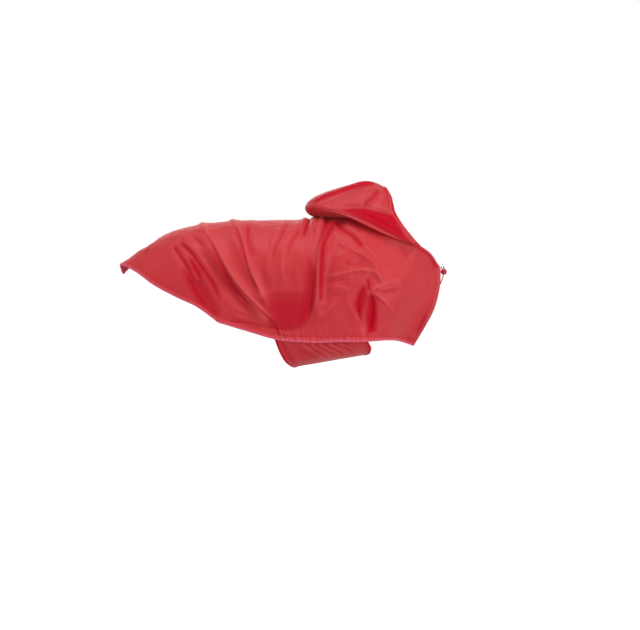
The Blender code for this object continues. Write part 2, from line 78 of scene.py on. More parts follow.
# The largest folds: side, then start, bend and end (x, z), rise and half width, all in mm.
FOLDS = (
    (RIGHT, (-300, -34), (-250, -110), (-170, -200), 5.0, 12),
    (RIGHT, (-306, -60), (-262, -130), (-196, -200), -5.0, 11),
    (RIGHT, (-240, -26), (-200, -105), (-168, -186), 4.5, 11),
    (RIGHT, (-340, -66), (-312, -118), (-270, -180), -3.5, 12),
    (RIGHT, (-124, -24), (-165, -75), (-164, -140), 3.5, 11),
    (RIGHT, (-42, -30), (-78, -90), (-72, -205), 6.0, 10),
    (RIGHT, (-30, -34), (-56, -90), (-58, -170), -5.5, 10),
    (RIGHT, (12, -60), (30, -92), (62, -128), 4.0, 10),
    (RIGHT, (30, -150), (26, -190), (26, -234), -5.0, 10),
    (RIGHT, (36, -146), (72, -140), (104, -128), 3.5, 10),
    (LEFT, (-322, -44), (-268, -110), (-180, -196), 5.0, 13),
    (LEFT, (-330, -74), (-280, -140), (-206, -202), -4.5, 11),
    (LEFT, (-214, -26), (-190, -110), (-160, -180), 4.5, 11),
    (LEFT, (-108, -24), (-140, -90), (-140, -150), 3.5, 12),
    (LEFT, (-52, -32), (-84, -110), (-96, -200), 5.5, 11),
    (LEFT, (-36, -34), (-60, -100), (-70, -180), -5.0, 10),
    (LEFT, (22, -80), (36, -120), (70, -160), 4.0, 11),
    (LEFT, (8, -140), (10, -190), (20, -232), -4.5, 10),
)

GATHERS = 34
GATHER_START = 0.27
GATHER_RISE = 1.1 * MM

HOOD_END_X = 132 * MM
HOOD_FOOT = (
    (0.00, 0.755, 0.000),
    (0.25, 0.795, 0.062),
    (0.50, 0.875, 0.135),
    (0.75, 0.940, 0.235),
    (1.00, 0.985, 0.343),
)
HOOD_REST = ((0.5, 2.7 * MM), (1, 4.4 * MM))
HOOD_SEAM_SHARE, HOOD_ABOVE_CASING = 0.12, 2.7 * MM
HOOD_SECTIONS = (
    (
        0.00, (-88.5, 0, 8), (-82, 0, 25), (-58, 0, 39), (-4, 0, 55.5),
        (42, 0, 62.3), (68.5, 0, 52), (82.4, 0, 33),
    ),
    (
        0.25, (-69, 38, 9), (-67, 41, 18), (-50, 39, 26), (-10, 37, 40),
        (42, 33, 53), (71, 30, 37), (82.5, 31, 22),
    ),
    (
        0.50, (-15, 66, -0.5), (-12, 68, 6), (4, 65, 9), (24, 64, 20),
        (52, 58, 28), (75, 55, 13), (85, 55, 4),
    ),
    (
        0.75, (55, 83, -32.5), (58, 84, -26), (64, 79, -16), (72, 76, -1),
        (81, 73, 0), (91.5, 70.5, -20), (101, 69.5, -22),
    ),
    (
        1.00, (117, 76, -58.5), (118.5, 78, -56), (121, 78, -54), (123, 77.5, -53),
        (126, 76, -54), (129, 74.5, -57), (132, 73, -60),
    ),
)

TAB_X, TAB_Z = (-169, -92), (-150, -164, -178, -192, -206, -216)
TAB_CLEARANCE = 0.9 * MM
BAND_ROWS = (
    (-93.5, -158, -226, -68, -223),
    (-88, -146, -243, 12, -238),
    (-80, -139, -262, 26, -256),
    (-60, -127, -285, 28, -271),
    (-30, -113, -300, 27, -280),
    (0, -105, -306, 26, -283),
    (30, -111, -300, 27, -280),
    (60, -122, -285, 28, -271),
    (80, -133, -262, 26, -256),
    (88, -138, -243, 24, -238),
    (93.5, -142, -224, 22, -218),
)
BAND_HEM_WIDTH = 8 * MM

TOGGLE_CENTRE = (188.8 * MM, 0, -116.8 * MM)
TOGGLE_RADIUS = 6.2 * MM
CORD_RADIUS = 1.1 * MM
# The drawcord from the right end of the casing through the toggle, round its loop and back to the left.
CORD_ROUTE = (
    (182.4, -3.7, -105.8), (183.1, -3.5, -106.7), (183.6, -3.2, -107.8), (184.1, -2.7, -109.4),
    (185.4, -1.85, -111.5), (187.2, -1.6, -112.2), (188.4, -1.75, -111.6),
    (188.9, -1.9, -110.3), (188.8, -2.7, -108.4), (188.3, -2.0, -106.6), (188.0, 0, -105.9),
    (188.3, 2.0, -106.6), (188.8, 2.7, -108.4), (188.9, 1.9, -110.3), (188.8, 1.6, -114.0),
    (188.6, 1.0, -119.0), (187.95, 0.5, -123.3), (186.9, 1.5, -128.2), (185.1, 2.4, -133.6),
    (183.5, 3.0, -138.2), (182.5, 3.3, -142.0),
)

# ---- creases, for the looks alone

# Drawn on the plane that the camera faces, in steps of 2 mm: across from 0.7 m behind the origin, and
# down from 0.428 m above it. Each row: a line as across, down, across, down and so on, its rise in mm, its
# half widths in mm on the right and left hand of a walker along it, and the percent of its length over
# which its start and its end fade.
PLANE_STEP = 2 * MM
ORIGIN_ACROSS, ORIGIN_DOWN = 350, 214
CREASES = (
    # The two long folds from the back of the rump down to the belly band's seam.
    ((201, 222, 206, 229, 212, 240, 220, 251, 230, 269, 241, 285, 253, 298, 264, 309, 273, 318, 281, 332),
     2.6, 5, 9, 2, 15),
    ((207, 232, 215, 246, 224, 265, 233, 281, 241, 293, 250, 304, 262, 315), -2.2, 8, 5, 10, 20),
    ((231, 219, 236, 225, 241, 233, 246, 245, 249, 258, 252, 271, 259, 285, 265, 298, 271, 309), 2.4, 4, 7,
     2, 15),
    ((236, 227, 242, 240, 246, 256, 250, 268, 255, 282, 261, 296), -1.8, 5, 3, 10, 20),
    ((249, 224, 250, 240, 253, 252, 258, 264), -1.8, 4, 5, 15, 30),
    ((254, 230, 257, 246, 262, 260), 0.9, 4, 6, 20, 40),
    # The fan of shorter folds on the rump.
    ((180, 241, 187, 247, 195, 255, 202, 265, 210, 276, 218, 290, 224, 306), -2.4, 4, 8, 12, 30),
    ((184, 240, 196, 250, 206, 262, 216, 277, 222, 292), 1.6, 6, 9, 15, 35),
    ((175, 244, 181, 254, 187, 263, 193, 273), -1.6, 4, 5, 20, 40),
    ((186, 254, 193, 267, 201, 284), 1.7, 4, 4, 20, 15),
    ((192, 259, 199, 271, 204, 281), -1.7, 3, 4, 20, 20),
    ((193, 235, 202, 243, 209, 252), -1.1, 5, 5, 30, 40),
    ((186, 272, 194, 284, 202, 298, 212, 312), -1.4, 7, 6, 30, 30),
    ((166, 237, 156, 243, 149, 253, 145, 264), -1.1, 9, 7, 30, 40),
    ((140, 258, 152, 272, 166, 284), 0.6, 12, 12, 40, 40),
    # The folds that hang from the middle of the back.
    ((287, 220, 277, 238, 271, 255, 269, 271, 269, 290), 1.5, 5, 5, 10, 35),
    ((291, 222, 281, 240, 275, 256, 273, 272), -1.3, 5, 4, 15, 35),
    ((302, 218, 294, 233, 287, 248, 283, 260, 283, 276, 288, 291), 1.4, 4, 5, 10, 35),
    ((305, 222, 297, 236, 290, 251, 286, 264), -1.3, 4, 4, 15, 35),
    ((312, 217, 306, 230, 303, 246), -1.1, 4, 5, 15, 35),
    ((323, 217, 316, 227, 311, 240, 309, 252), 1.2, 4, 5, 10, 35),
    # Short puckers that come out from under the hood's tip, on a low swelling.
    ((322, 217, 312, 220), 1.9, 24, 24, 1, 1),
    ((310, 213, 304, 222, 299, 234), 2.6, 4, 4, 5, 50),
    ((313, 215, 308, 225, 304, 238), -1.6, 3, 3, 50, 40),
    ((318, 213, 313, 223, 310, 238), 2.4, 4, 3, 5, 50),
    ((321, 216, 316, 227, 313, 240), -1.7, 3, 3, 50, 40),
    ((326, 214, 321, 224, 318, 236), 2.2, 4, 3, 5, 50),
    ((329, 217, 324, 228, 322, 238), -1.5, 3, 3, 50, 40),
    # The main fold under the hood, with its trough in front and its hollow behind.
    ((333, 218, 326, 235, 320, 248, 318, 263, 317, 278, 317, 292, 315, 305, 312, 320), 2.8, 4, 4, 5, 25),
    ((334, 222, 327, 239, 322, 253, 321, 267, 321, 283, 322, 299), -2.6, 3, 4, 8, 25),
    ((316, 268, 314, 286, 312, 304, 307, 322), -2.2, 6, 3, 20, 25),
    # From under the hood forward over the shoulder.
    ((334, 222, 341, 229, 352, 237, 360, 246, 366, 253), -2.2, 4, 5, 10, 25),
    ((340, 223, 352, 231, 360, 240, 371, 252, 382, 266, 391, 276), 1.5, 5, 8, 10, 35),
    ((362, 240, 372, 251, 381, 263, 392, 272), -1.2, 4, 5, 20, 40),
    ((335, 243, 348, 250, 363, 258, 373, 266, 377, 278), 1.7, 2.5, 4, 20, 20),
    ((322, 279, 340, 275, 358, 271, 371, 272), 1.7, 3, 3.5, 20, 20),
    ((322, 284, 336, 281, 350, 280), -0.8, 3, 3, 30, 40),
    ((323, 289, 335, 287, 351, 291), 1.4, 3, 3, 25, 30),
    ((317, 318, 326, 310, 336, 301), 1.6, 4, 3, 20, 35),
    # The star of creases low on the shoulder.
    ((359, 271, 371, 272, 378, 277, 380, 283), 2.0, 4, 3, 20, 20),
    ((367, 291, 378, 287, 393, 280, 402, 276), 2.4, 3.5, 4.5, 10, 45),
    ((368, 291, 379, 298, 387, 306, 395, 318), 2.0, 4, 3, 10, 35),
    ((372, 297, 383, 305, 392, 317), -0.9, 3, 3, 20, 40),
    ((373, 276, 379, 281, 383, 287), 1.0, 2.5, 3, 20, 40),
    ((369, 279, 374, 284, 376, 290), 0.9, 2.5, 2.5, 30, 30),
    ((376, 294, 388, 292, 404, 288), -0.8, 4, 5, 30, 50),
    ((380, 287, 396, 284, 414, 284), -0.7, 5, 6, 30, 50),
    ((340, 263, 352, 266, 362, 265), -0.8, 3, 3, 30, 40),
    ((329, 258, 342, 256, 352, 252), 0.7, 3, 3, 30, 50),
    ((328, 297, 338, 295, 347, 299), -0.7, 3, 4, 30, 40),
    ((343, 303, 352, 310, 356, 322), 0.9, 4, 4, 30, 40),
    ((394, 241, 404, 254, 410, 268), -0.8, 6, 7, 30, 50),
    ((366, 277, 367, 285, 369, 293), -1.8, 3, 3, 30, 20),
    ((370, 294, 372, 306, 371, 318, 369, 334), -2.6, 5, 3.5, 12, 15),
    ((368, 290, 364, 300, 362, 312, 363, 326), 2.0, 2.5, 2.5, 15, 30),
    ((365, 284, 359, 295, 357, 306, 360, 322), -2.2, 5, 3, 20, 30),
    # Where the folds meet over the tab, and the line of its end.
    ((262, 299, 267, 295, 284, 293, 299, 292, 307, 296), 0.35, 2.5, 4, 20, 20),
    ((222, 321, 245, 322, 271, 327, 290, 329, 306, 326), -1.1, 3, 4, 20, 25),
    ((236, 293, 248, 304, 262, 315, 274, 323), 1.3, 3, 3, 20, 20),
    ((228, 303, 246, 312, 262, 319, 276, 326), 1.1, 3, 4, 25, 20),
    ((234, 315, 252, 320, 272, 327), 0.9, 3, 3, 30, 25),
    ((250, 291, 260, 302, 272, 314), -1.0, 2.5, 3, 20, 20),
    ((271, 316, 276, 326, 281, 337), -1.4, 3, 4, 20, 20),
    ((276, 330, 288, 334, 300, 335), 0.8, 4, 4, 30, 30),
    # Soft valley beside the front edge.
    ((434, 284, 432, 296, 426, 311, 420, 327, 415, 338), -1.2, 5, 4, 30, 15),
    ((412, 262, 424, 285, 420, 315), 0.8, 22, 18, 40, 40),
)
# The left side's, drawn as if the coat were mirrored: like the right side's, with its own lengths and places.
CREASES_LEFT = (
    ((201, 222, 206, 229, 213, 242, 222, 256, 233, 275, 245, 291, 258, 304, 270, 316), 2.5, 5, 9, 2, 20),
    ((205, 234, 214, 250, 224, 269, 235, 286, 246, 300, 258, 312), -2.1, 8, 5, 10, 20),
    ((231, 219, 237, 227, 243, 240, 248, 256, 253, 273, 261, 290, 268, 303), 2.3, 4, 7, 2, 20),
    ((240, 236, 246, 252, 250, 268, 257, 284), -1.7, 5, 3, 15, 25),
    ((256, 224, 257, 238, 261, 252, 264, 264), -1.6, 4, 5, 15, 30),
    ((176, 240, 186, 249, 196, 261, 206, 276, 214, 292), -2.2, 4, 8, 15, 30),
    ((182, 238, 195, 250, 207, 266, 217, 284), 1.5, 6, 9, 15, 35),
    ((184, 258, 192, 272, 199, 288), 1.5, 4, 4, 20, 20),
    ((160, 238, 152, 248, 147, 262), -1.1, 9, 7, 30, 40),
    ((290, 220, 281, 237, 275, 256, 274, 278), 1.5, 5, 5, 10, 35),
    ((294, 223, 286, 240, 280, 258), -1.3, 5, 4, 15, 35),
    ((308, 219, 300, 236, 294, 256, 293, 276), 1.3, 4, 5, 10, 35),
    ((322, 217, 314, 232, 311, 250), 1.1, 4, 5, 10, 35),
    ((322, 217, 312, 220), 1.9, 24, 24, 1, 1),
    ((310, 213, 305, 223, 301, 236), 2.5, 4, 4, 5, 50),
    ((314, 215, 309, 226, 306, 240), -1.6, 3, 3, 50, 40),
    ((319, 213, 315, 224, 313, 237), 2.3, 4, 3, 5, 50),
    ((327, 214, 322, 225, 318, 238), 2.1, 4, 3, 5, 50),
    ((331, 218, 323, 238, 316, 256, 310, 278, 305, 300, 300, 316), 2.7, 4, 4, 5, 25),
    ((333, 224, 326, 242, 319, 262, 315, 286, 311, 304), -2.4, 3, 4, 8, 25),
    ((338, 223, 350, 234, 362, 250, 374, 268), -1.9, 4, 5, 10, 30),
    ((344, 222, 358, 234, 372, 252, 384, 270), 1.4, 5, 8, 10, 35),
    ((326, 286, 345, 284, 364, 288), 1.1, 3, 3.5, 20, 25),
    ((352, 294, 366, 290, 384, 292), 1.6, 3.5, 4, 20, 40),
    ((360, 292, 372, 304, 384, 320), 1.3, 4, 3, 10, 35),
    ((360, 294, 359, 308, 362, 330), -2.4, 4, 4, 12, 15),
    ((354, 292, 351, 306, 352, 322), 1.7, 3, 3, 15, 30),
    ((228, 322, 250, 325, 276, 330), -1.0, 3, 4, 20, 30),
    ((434, 284, 432, 296, 426, 311, 420, 327, 415, 338), -1.2, 5, 4, 30, 15),
    ((410, 262, 420, 288, 414, 318), 0.8, 22, 18, 40, 40),
)
# The hood's, on the same plane; the left side takes its mirror.
HOOD_CREASES = (
    ((312, 205, 318, 202, 327, 198, 341, 193, 358, 187, 371, 184, 380, 184), -2.8, 2.5, 5, 15, 25),
    ((311, 209, 325, 203, 341, 196, 358, 190, 370, 188), 1.5, 4, 2.5, 20, 40),
    ((308, 210, 320, 211, 335, 213, 348, 217, 368, 225, 383, 233, 403, 243, 414, 248), 1.7, 2.5, 2.5, 5, 5),
    ((337, 211, 350, 209, 363, 209, 377, 212, 391, 217), 3.0, 2.5, 5, 15, 10),
    ((346, 213, 363, 215, 380, 222, 396, 232, 408, 241), -1.5, 6, 8, 30, 30),
    ((379, 190, 372, 200, 363, 208), -2.0, 5, 2.5, 20, 20),
    ((383, 192, 377, 203, 370, 209), 1.6, 3, 5, 20, 30),
    ((310, 208, 318, 206, 330, 206), -0.9, 4, 4, 30, 40),
    ((384, 186, 387, 198, 390, 212), -2.0, 4, 2.5, 10, 30),
)
# The belly band's stretch folds, on the same plane.
BAND_CREASES = (
    ((301, 342, 306, 346, 314, 351, 326, 358), 1.6, 3, 3, 10, 30),
    ((296, 344, 303, 350, 314, 357), -0.9, 4, 4, 20, 40),
    ((309, 343, 315, 347, 323, 351, 336, 357), 1.6, 3, 3, 10, 30),
    ((317, 342, 324, 347, 333, 351, 343, 356), 1.5, 3, 3, 10, 30),
    ((326, 342, 331, 345, 338, 348, 351, 353), 1.5, 3, 3, 10, 30),
    ((336, 342, 342, 345, 348, 347, 363, 351), 1.4, 3, 3, 10, 30),
    ((346, 343, 356, 346, 368, 349), 1.2, 3, 3, 10, 40),
    ((305, 342, 311, 347, 319, 352, 331, 359), -1.6, 3, 3, 10, 30),
    ((313, 342, 320, 347, 329, 352, 340, 357), -1.5, 3, 3, 10, 30),
    ((322, 342, 328, 346, 335, 350, 347, 355), -1.6, 3, 3, 10, 30),
    ((331, 342, 337, 345, 344, 348, 357, 352), -1.4, 3, 3, 10, 30),
    ((341, 342, 348, 345, 356, 347, 366, 350), -1.2, 3, 3, 10, 30),
)
# Painted shade, where the colour deepens in troughs and hollows, under the hood and where two layers lie
# together:
# outlines on the same plane, share, and softness in the plane's steps.
# Painted shade over the tab, where it lies behind the cloth and holds back the light through it.
TAB_SHADE_PATCHES = (
    ((262, 301, 266, 295, 275, 292, 300, 292, 308, 294, 309, 318, 303, 326, 292, 329, 272, 327, 268, 316),
     0.36, 5),
    ((271, 303, 284, 299, 306, 303, 309, 318, 300, 327, 284, 328, 271, 324), 0.45, 12),
)
# Painted shade in the right side's troughs and hollows, below the hood's tip and on the rump.
PAINTED_SHADE_PATCHES = (
    ((190, 258, 200, 268, 207, 284, 217, 300, 223, 314, 212, 316, 202, 303, 192, 286, 187, 271), 0.52, 9),
    ((370, 293, 374, 300, 376, 316, 375, 330, 366, 334, 365, 316, 367, 302), 0.85, 5),
    ((352, 306, 360, 292, 367, 284, 365, 300, 360, 318), 0.75, 6),
    ((320, 236, 326, 222, 333, 221, 326, 245, 323, 300, 319, 300, 319, 255), 0.6, 5),
    ((309, 262, 315, 270, 313, 300, 306, 322, 301, 320), 0.6, 9),
    ((212, 262, 220, 262, 226, 286, 216, 284), 0.2, 8),
    ((226, 268, 232, 276, 240, 292, 234, 292, 226, 280), 0.3, 7),
)
# Painted shade in the left side's troughs and hollows.
PAINTED_SHADE_PATCHES_LEFT = (
    ((186, 262, 196, 272, 204, 288, 216, 304, 222, 314, 210, 314, 200, 302, 190, 286), 0.7, 10),
    ((357, 298, 363, 300, 366, 316, 364, 331, 358, 332, 355, 312), 0.6, 6),
    ((318, 240, 325, 224, 331, 224, 323, 250, 318, 296, 313, 296), 0.45, 6),
)
# Painted shade along the band's rear edge and under the coat's hem.
BAND_SHADE_PATCHES = (
    ((276, 341, 284, 341, 299, 364, 292, 368), 0.4, 4),
    ((296, 346, 320, 350, 320, 360, 300, 366), 0.2, 10),
)
# Painted shade in the hood's hollow fold and in the valley on its top.
HOOD_SHADE_PATCHES = (
    ((340, 211, 363, 210, 391, 217, 398, 228, 404, 238, 411, 245, 402, 241, 383, 232, 364, 222), 0.95, 3),
    ((308, 203, 326, 195, 345, 187, 362, 182, 378, 181, 372, 186, 352, 191, 330, 198, 316, 204), 0.75, 4),
)

CREASES_ON = {RIGHT: CREASES, LEFT: CREASES_LEFT}
SHADE_PATCHES_ON = {RIGHT: PAINTED_SHADE_PATCHES + TAB_SHADE_PATCHES, LEFT: PAINTED_SHADE_PATCHES_LEFT}

CREASE_SHARPNESS, CREASE_SCALE, CRUMPLE = 1.08, 1.75, 2.1
# The cloth's crumple: height in mm, size of the lumps in mm, and seed. Ridged lumps fold sharply at zero.
CAPE_LUMPS, CAPE_RIDGES = ((0.4, 45, 1), (0.15, 17, 2), (0.1, 7, 7)), ((0.75, 34, 11), (0.4, 15, 12))
HOOD_LUMPS, HOOD_RIDGES = ((0.5, 40, 3), (0.1, 7, 8)), ((1.3, 26, 4),)
BAND_LUMPS = ((0.6, 50, 5), (0.2, 16, 6))
SPINE_BLEND, SPINE_FREE = 12 * MM, 18 * MM
FRONT_FILL, FRONT_FILL_AT, FRONT_FILL_REACH = 7 * MM, 18 * MM, 10 * MM
DENSE = 321
TURNS = 12
CURVE_POINTS = 240
EDGE_POINTS = 110
CAPE_COLUMNS, CAPE_HALF_ROWS = 316, 155
HOOD_ROWS, HOOD_HALF_COLUMNS = 190, 110
REAR_HEM_STATIONS, NECK_STATIONS, FRONT_STATIONS = 261, 221, 90
PLAIN_STATIONS, STATIONS_PER_PUCKER = 60, 10
WIDE_ACROSS, NARROW_ACROSS = 11, 9  # places across a hem
BAND_COLUMNS, TAB_ROWS, BAND_FINE_ROWS = 61, 23, 170
# Rows past the tab where the band's creases begin, over which they grow, and where its hems begin.
CREASES_FROM, CREASES_GROW, HEMS_FROM = 6, 12, 12
# Places along the hood's sections: where the upper layer's creases begin, how soon they are full, the hem.
HOOD_UPPER_FROM, HOOD_UPPER_FADE, HOOD_HEM_FROM = 3.2, 0.6, 9.0
VIEW_AZIMUTH, VIEW_ELEVATION = math.radians(-4), math.radians(6)
VIEW_ACROSS = np.array((math.cos(VIEW_AZIMUTH), math.sin(VIEW_AZIMUTH), 0))
VIEW_BACK = np.array((
    math.sin(VIEW_AZIMUTH) * math.cos(VIEW_ELEVATION),
    -math.cos(VIEW_AZIMUTH) * math.cos(VIEW_ELEVATION),
    math.sin(VIEW_ELEVATION),
))
VIEW_UP = np.cross(VIEW_BACK, VIEW_ACROSS)

# ---- curves


def spans(points):
    return np.concatenate([[0], np.cumsum(np.linalg.norm(np.diff(points, axis=0), axis=1))])


def hermite(knots, rows, at):
    """A smooth curve through the rows, read at the given places."""
    slopes = np.gradient(rows, knots, axis=0)
    index = np.clip(np.searchsorted(knots, at, side="right") - 1, 0, len(knots) - 2)
    step = knots[index + 1] - knots[index]
    t = (at - knots[index]) / step
    shape = (slice(None),) + (None,) * (rows.ndim - 1)
    t, step = t[shape], step[shape]
    start, end = rows[index], rows[index + 1]
    return (
        start * (2 * t**3 - 3 * t**2 + 1)
        + slopes[index] * step * (t**3 - 2 * t**2 + t)
        + end * (3 * t**2 - 2 * t**3)
        + slopes[index + 1] * step * (t**3 - t**2)
    )


def smooth(points, count):
    rows = np.array(points, float)
    knots = spans(rows)
    return hermite(knots, rows, np.linspace(0, knots[-1], count))


def evenly(points, count):
    along = spans(points)
    at = np.linspace(0, along[-1], count)
    return np.stack([np.interp(at, along, column) for column in points.T], axis=1)


def distance_to(points, line):
    """How far points are from a line, at what share of its length, and on which hand: 1 is the right."""
    starts, steps = line[:-1], np.diff(line, axis=0)
    along = spans(line)
    flat = points.reshape(-1, points.shape[-1])
    best, place = np.full(len(flat), np.inf), np.zeros(len(flat))
    hand = np.zeros(len(flat))
    for start, step, base in zip(starts, steps, along):
        length = np.linalg.norm(step)
        off = flat - start
        share = np.clip(off @ step / length**2, 0, 1)
        away = np.linalg.norm(off - share[:, None] * step, axis=1)
        nearer = away < best
        best[nearer] = away[nearer]
        place[nearer] = (base + share[nearer] * length) / along[-1]
        if flat.shape[1] == 2:
            turn = step[0] * off[:, 1] - step[1] * off[:, 0]
            hand[nearer] = np.where(turn[nearer] < 0, 1, -1)
    shape = points.shape[:-1]
    return best.reshape(shape), place.reshape(shape), hand.reshape(shape)


def eased(value):
    value = np.clip(value, 0, 1)
    return value * value * (3 - 2 * value)


# ---- the coat's one surface

SHARES = np.linspace(0, 1, DENSE)
SPINE_LINE, REAR_LINE, SIDE_LINE, NECK_LINE, FRONT_LINE = (
    evenly(smooth(edge, CURVE_POINTS), EDGE_POINTS) * MM
    for edge in (SPINE, REAR_HEM, SIDE_HEM, NECKLINE, FRONT_EDGE)
)


def half_width(side_view):
    """Half the coat's width at points (x, z) of the side view: a round back and chest, and hanging sides."""
    below_spine = distance_to(side_view, SPINE_LINE)[0]
    from_front = distance_to(side_view, FRONT_LINE)[0]
    from_neck = distance_to(side_view, NECK_LINE)[0]
    girth = np.array(GIRTH) * MM
    neck = np.exp(-((from_neck / NECK_REACH) ** 2))
    width = hermite(girth[:, 0], girth[:, 1], side_view[..., 0].ravel()).reshape(neck.shape)
    width = width + (NECK_HALF_WIDTH - width) * neck
    back = BACK_ROUND + (NECK_ROUND - BACK_ROUND) * neck
    chest = CHEST_ROUND + (THROAT_ROUND - CHEST_ROUND) * neck
    over_back = np.sqrt(1 - (1 - np.clip(below_spine / back, 0, 1)) ** 2)
    turned = np.clip((from_front - FRONT_FLAT) / chest, 0, 1)
    over_chest = np.sin(math.pi / 2 * turned) * turned / (turned + CHEST_SOFTNESS) * (1 + CHEST_SOFTNESS)
    drawn_in = 1 - HEM_DRAW * np.clip((below_spine - back) / HEM_DRAW_DEPTH, 0, 1) ** 2
    near_front = np.exp(-((from_front / PARTING_REACH) ** 2))
    parting = FRONT_PARTING * near_front * np.clip(below_spine / back, 0, 1)
    return width * over_back * over_chest * drawn_in + parting


def side_view_patch():
    spine, hem = evenly(SPINE_LINE, DENSE), evenly(SIDE_LINE, DENSE)
    rear = evenly(REAR_LINE, DENSE)
    front = evenly(np.concatenate([NECK_LINE, FRONT_LINE[1:]]), DENSE)
    u, v = SHARES[:, None, None], SHARES[None, :, None]
    lengthwise = (1 - v) * spine[:, None] + v * hem[:, None]
    crosswise = (1 - u) * rear[None] + u * front[None]
    corners = (1 - u) * ((1 - v) * spine[0] + v * hem[0]) + u * ((1 - v) * spine[-1] + v * hem[-1])
    return lengthwise + crosswise - corners


def left_half():
    flat = side_view_patch()
    width = half_width(flat)
    width[:, 0] = 0
    rings = np.stack([flat[..., 0], width, flat[..., 1]], axis=-1)
    return np.stack([evenly(ring, DENSE) for ring in rings])


def facing(grid):
    normal = np.cross(np.gradient(grid, axis=0), np.gradient(grid, axis=1))
    normal[:, 0, 1] = 0
    return normal / np.linalg.norm(normal, axis=-1, keepdims=True)


HALF = left_half()
FACING = facing(HALF)
THROAT = np.argmin(np.linalg.norm(HALF[-1][:, [0, 2]] - NECK_LINE[-1], axis=1))
THROAT_V = SHARES[THROAT]
HOOD_END_V = np.interp(HOOD_END_X, HALF[-1][:THROAT, 0], SHARES[:THROAT])
FROM_REAR = distance_to(HALF, HALF[0])[0]
FROM_FRONT = distance_to(HALF, HALF[-1])[0]
FROM_HEM = distance_to(HALF, HALF[:, -1])[0]


def read(table, u, v):
    row, column = np.clip(u, 0, 1) * (DENSE - 1), np.clip(v, 0, 1) * (DENSE - 1)
    i, j = np.minimum(row.astype(int), DENSE - 2), np.minimum(column.astype(int), DENSE - 2)
    a, b = row - i, column - j
    if table.ndim == 3:
        a, b = a[..., None], b[..., None]
    near = table[i, j] * (1 - a) + table[i + 1, j] * a
    far = table[i, j + 1] * (1 - a) + table[i + 1, j + 1] * a
    return near * (1 - b) + far * b


def seen(points, side):
    """Where points lie on the plane that the camera faces, in its steps; the left side is mirrored."""
    points = points * (1, -side, 1)
    across, up = points @ VIEW_ACROSS, points @ VIEW_UP
    return np.stack([across / PLANE_STEP + ORIGIN_ACROSS, ORIGIN_DOWN - up / PLANE_STEP], axis=-1)


def crease_rise(places, creases):
    """The creases' rise at places on the camera's plane, in metres."""
    rise = np.zeros(places.shape[:-1])
    for line, height, right_width, left_width, start, end in creases:
        line = evenly(smooth(np.reshape(line, (-1, 2)), 40), 14)
        reach = 3 * MM * max(right_width, left_width) / PLANE_STEP
        low, high = line.min(axis=0) - reach, line.max(axis=0) + reach
        near = np.all((places > low) & (places < high), axis=-1)
        if not near.any():
            continue
        away, place, hand = distance_to(places[near], line)
        width = np.where(hand > 0, left_width, right_width) * MM / PLANE_STEP
        profile = np.exp(-((away / width) ** CREASE_SHARPNESS))
        ends = eased(place / (start / 100)) * eased((1 - place) / (end / 100))
        rise[near] += CREASE_SCALE * height * MM * profile * ends
    return rise


def painted_shade_share(places, patches):
    """How strong the painted shade is at places on the camera's plane, from 0 to 1."""
    share = np.zeros(places.shape[:-1])
    for outline, strength, softness in patches:
        ring = np.reshape(outline, (-1, 2)).astype(float)
        inside = np.zeros(share.shape, bool)
        for a, b in zip(ring, np.roll(ring, -1, axis=0)):
            if a[1] == b[1]:
                continue
            crosses = (a[1] > places[..., 1]) != (b[1] > places[..., 1])
            at = a[0] + (places[..., 1] - a[1]) * (b[0] - a[0]) / (b[1] - a[1])
            inside ^= crosses & (places[..., 0] < at)
        away = distance_to(places, np.concatenate([ring, ring[:1]]))[0]
        signed = np.where(inside, away, -away)
        share += (1 - share) * strength * eased(signed / softness + 0.5)
    return share


def fold_rise(side_view, side):
    rise = np.zeros(side_view.shape[:-1])
    for fold_side, start, bend, end, height, width in FOLDS:
        if fold_side != side:
            continue
        t = np.linspace(0, 1, 16)[:, None]
        line = (1 - t) ** 2 * np.array(start) + 2 * t * (1 - t) * np.array(bend) + t**2 * np.array(end)
        away, place = distance_to(side_view, line * MM)[:2]
        rise += height * MM * np.exp(-((away / (width * MM)) ** 2)) * (1 - (2 * place - 1) ** 4)
    return rise


def wander(points, size, seed):
    """Smooth noise over points in space, with lumps of the given size, from -1 to 1."""
    flat = points.reshape(-1, 3) / size
    offset = Vector((seed * 7.3, seed * 3.1, seed * 5.7))
    values = [noise.noise(Vector(p) + offset) for p in flat]
    return np.array(values).reshape(points.shape[:-1])


def lumps(points, table):
    return sum(height * wander(points, size * MM, seed) for height, size, seed in table)


def ridges(points, table):
    return sum(height * np.abs(wander(points, size * MM, seed)) for height, size, seed in table)


def gathers(u, from_hem, side):
    """The elastic's puckers: strongest in the casing, fading up the panel at uneven heights."""
    number = GATHERS * (u - GATHER_START) / (1 - GATHER_START)
    number = number + 0.33 * np.sin(1.7 * number + side) + 0.3 * np.sin(0.61 * number + 2 * side)
    index = np.floor(number)
    uneven = 0.5 + 0.5 * np.sin(index * 2.4 + side * 0.9) * np.cos(index * 0.73 + 1.3)
    above = np.clip(from_hem - SIDE_CASING_WIDTH, 0, None)
    reach = (3 + 8 * uneven) * MM
    at_edge = 0.4 + 0.6 * eased(from_hem / SIDE_CASING_WIDTH)
    strength = (0.25 + 0.9 * uneven) * np.exp(-((above / reach) ** 1.3)) * at_edge
    wave = np.sin(2 * math.pi * number)
    pinch = np.where(wave > 0, wave**2, -(np.abs(wave) ** 1.2) * 1.2)
    fade_in = eased((u - GATHER_START) / 0.04 + 0.2) * eased((1 - u) / 0.02)
    seam = np.exp(-(((from_hem - SIDE_CASING_WIDTH - 1.2 * MM) / (1.5 * MM)) ** 2)) * (0.9 - 0.5 * wave)
    return (GATHER_RISE * pinch * strength - 0.9 * MM * seam) * fade_in


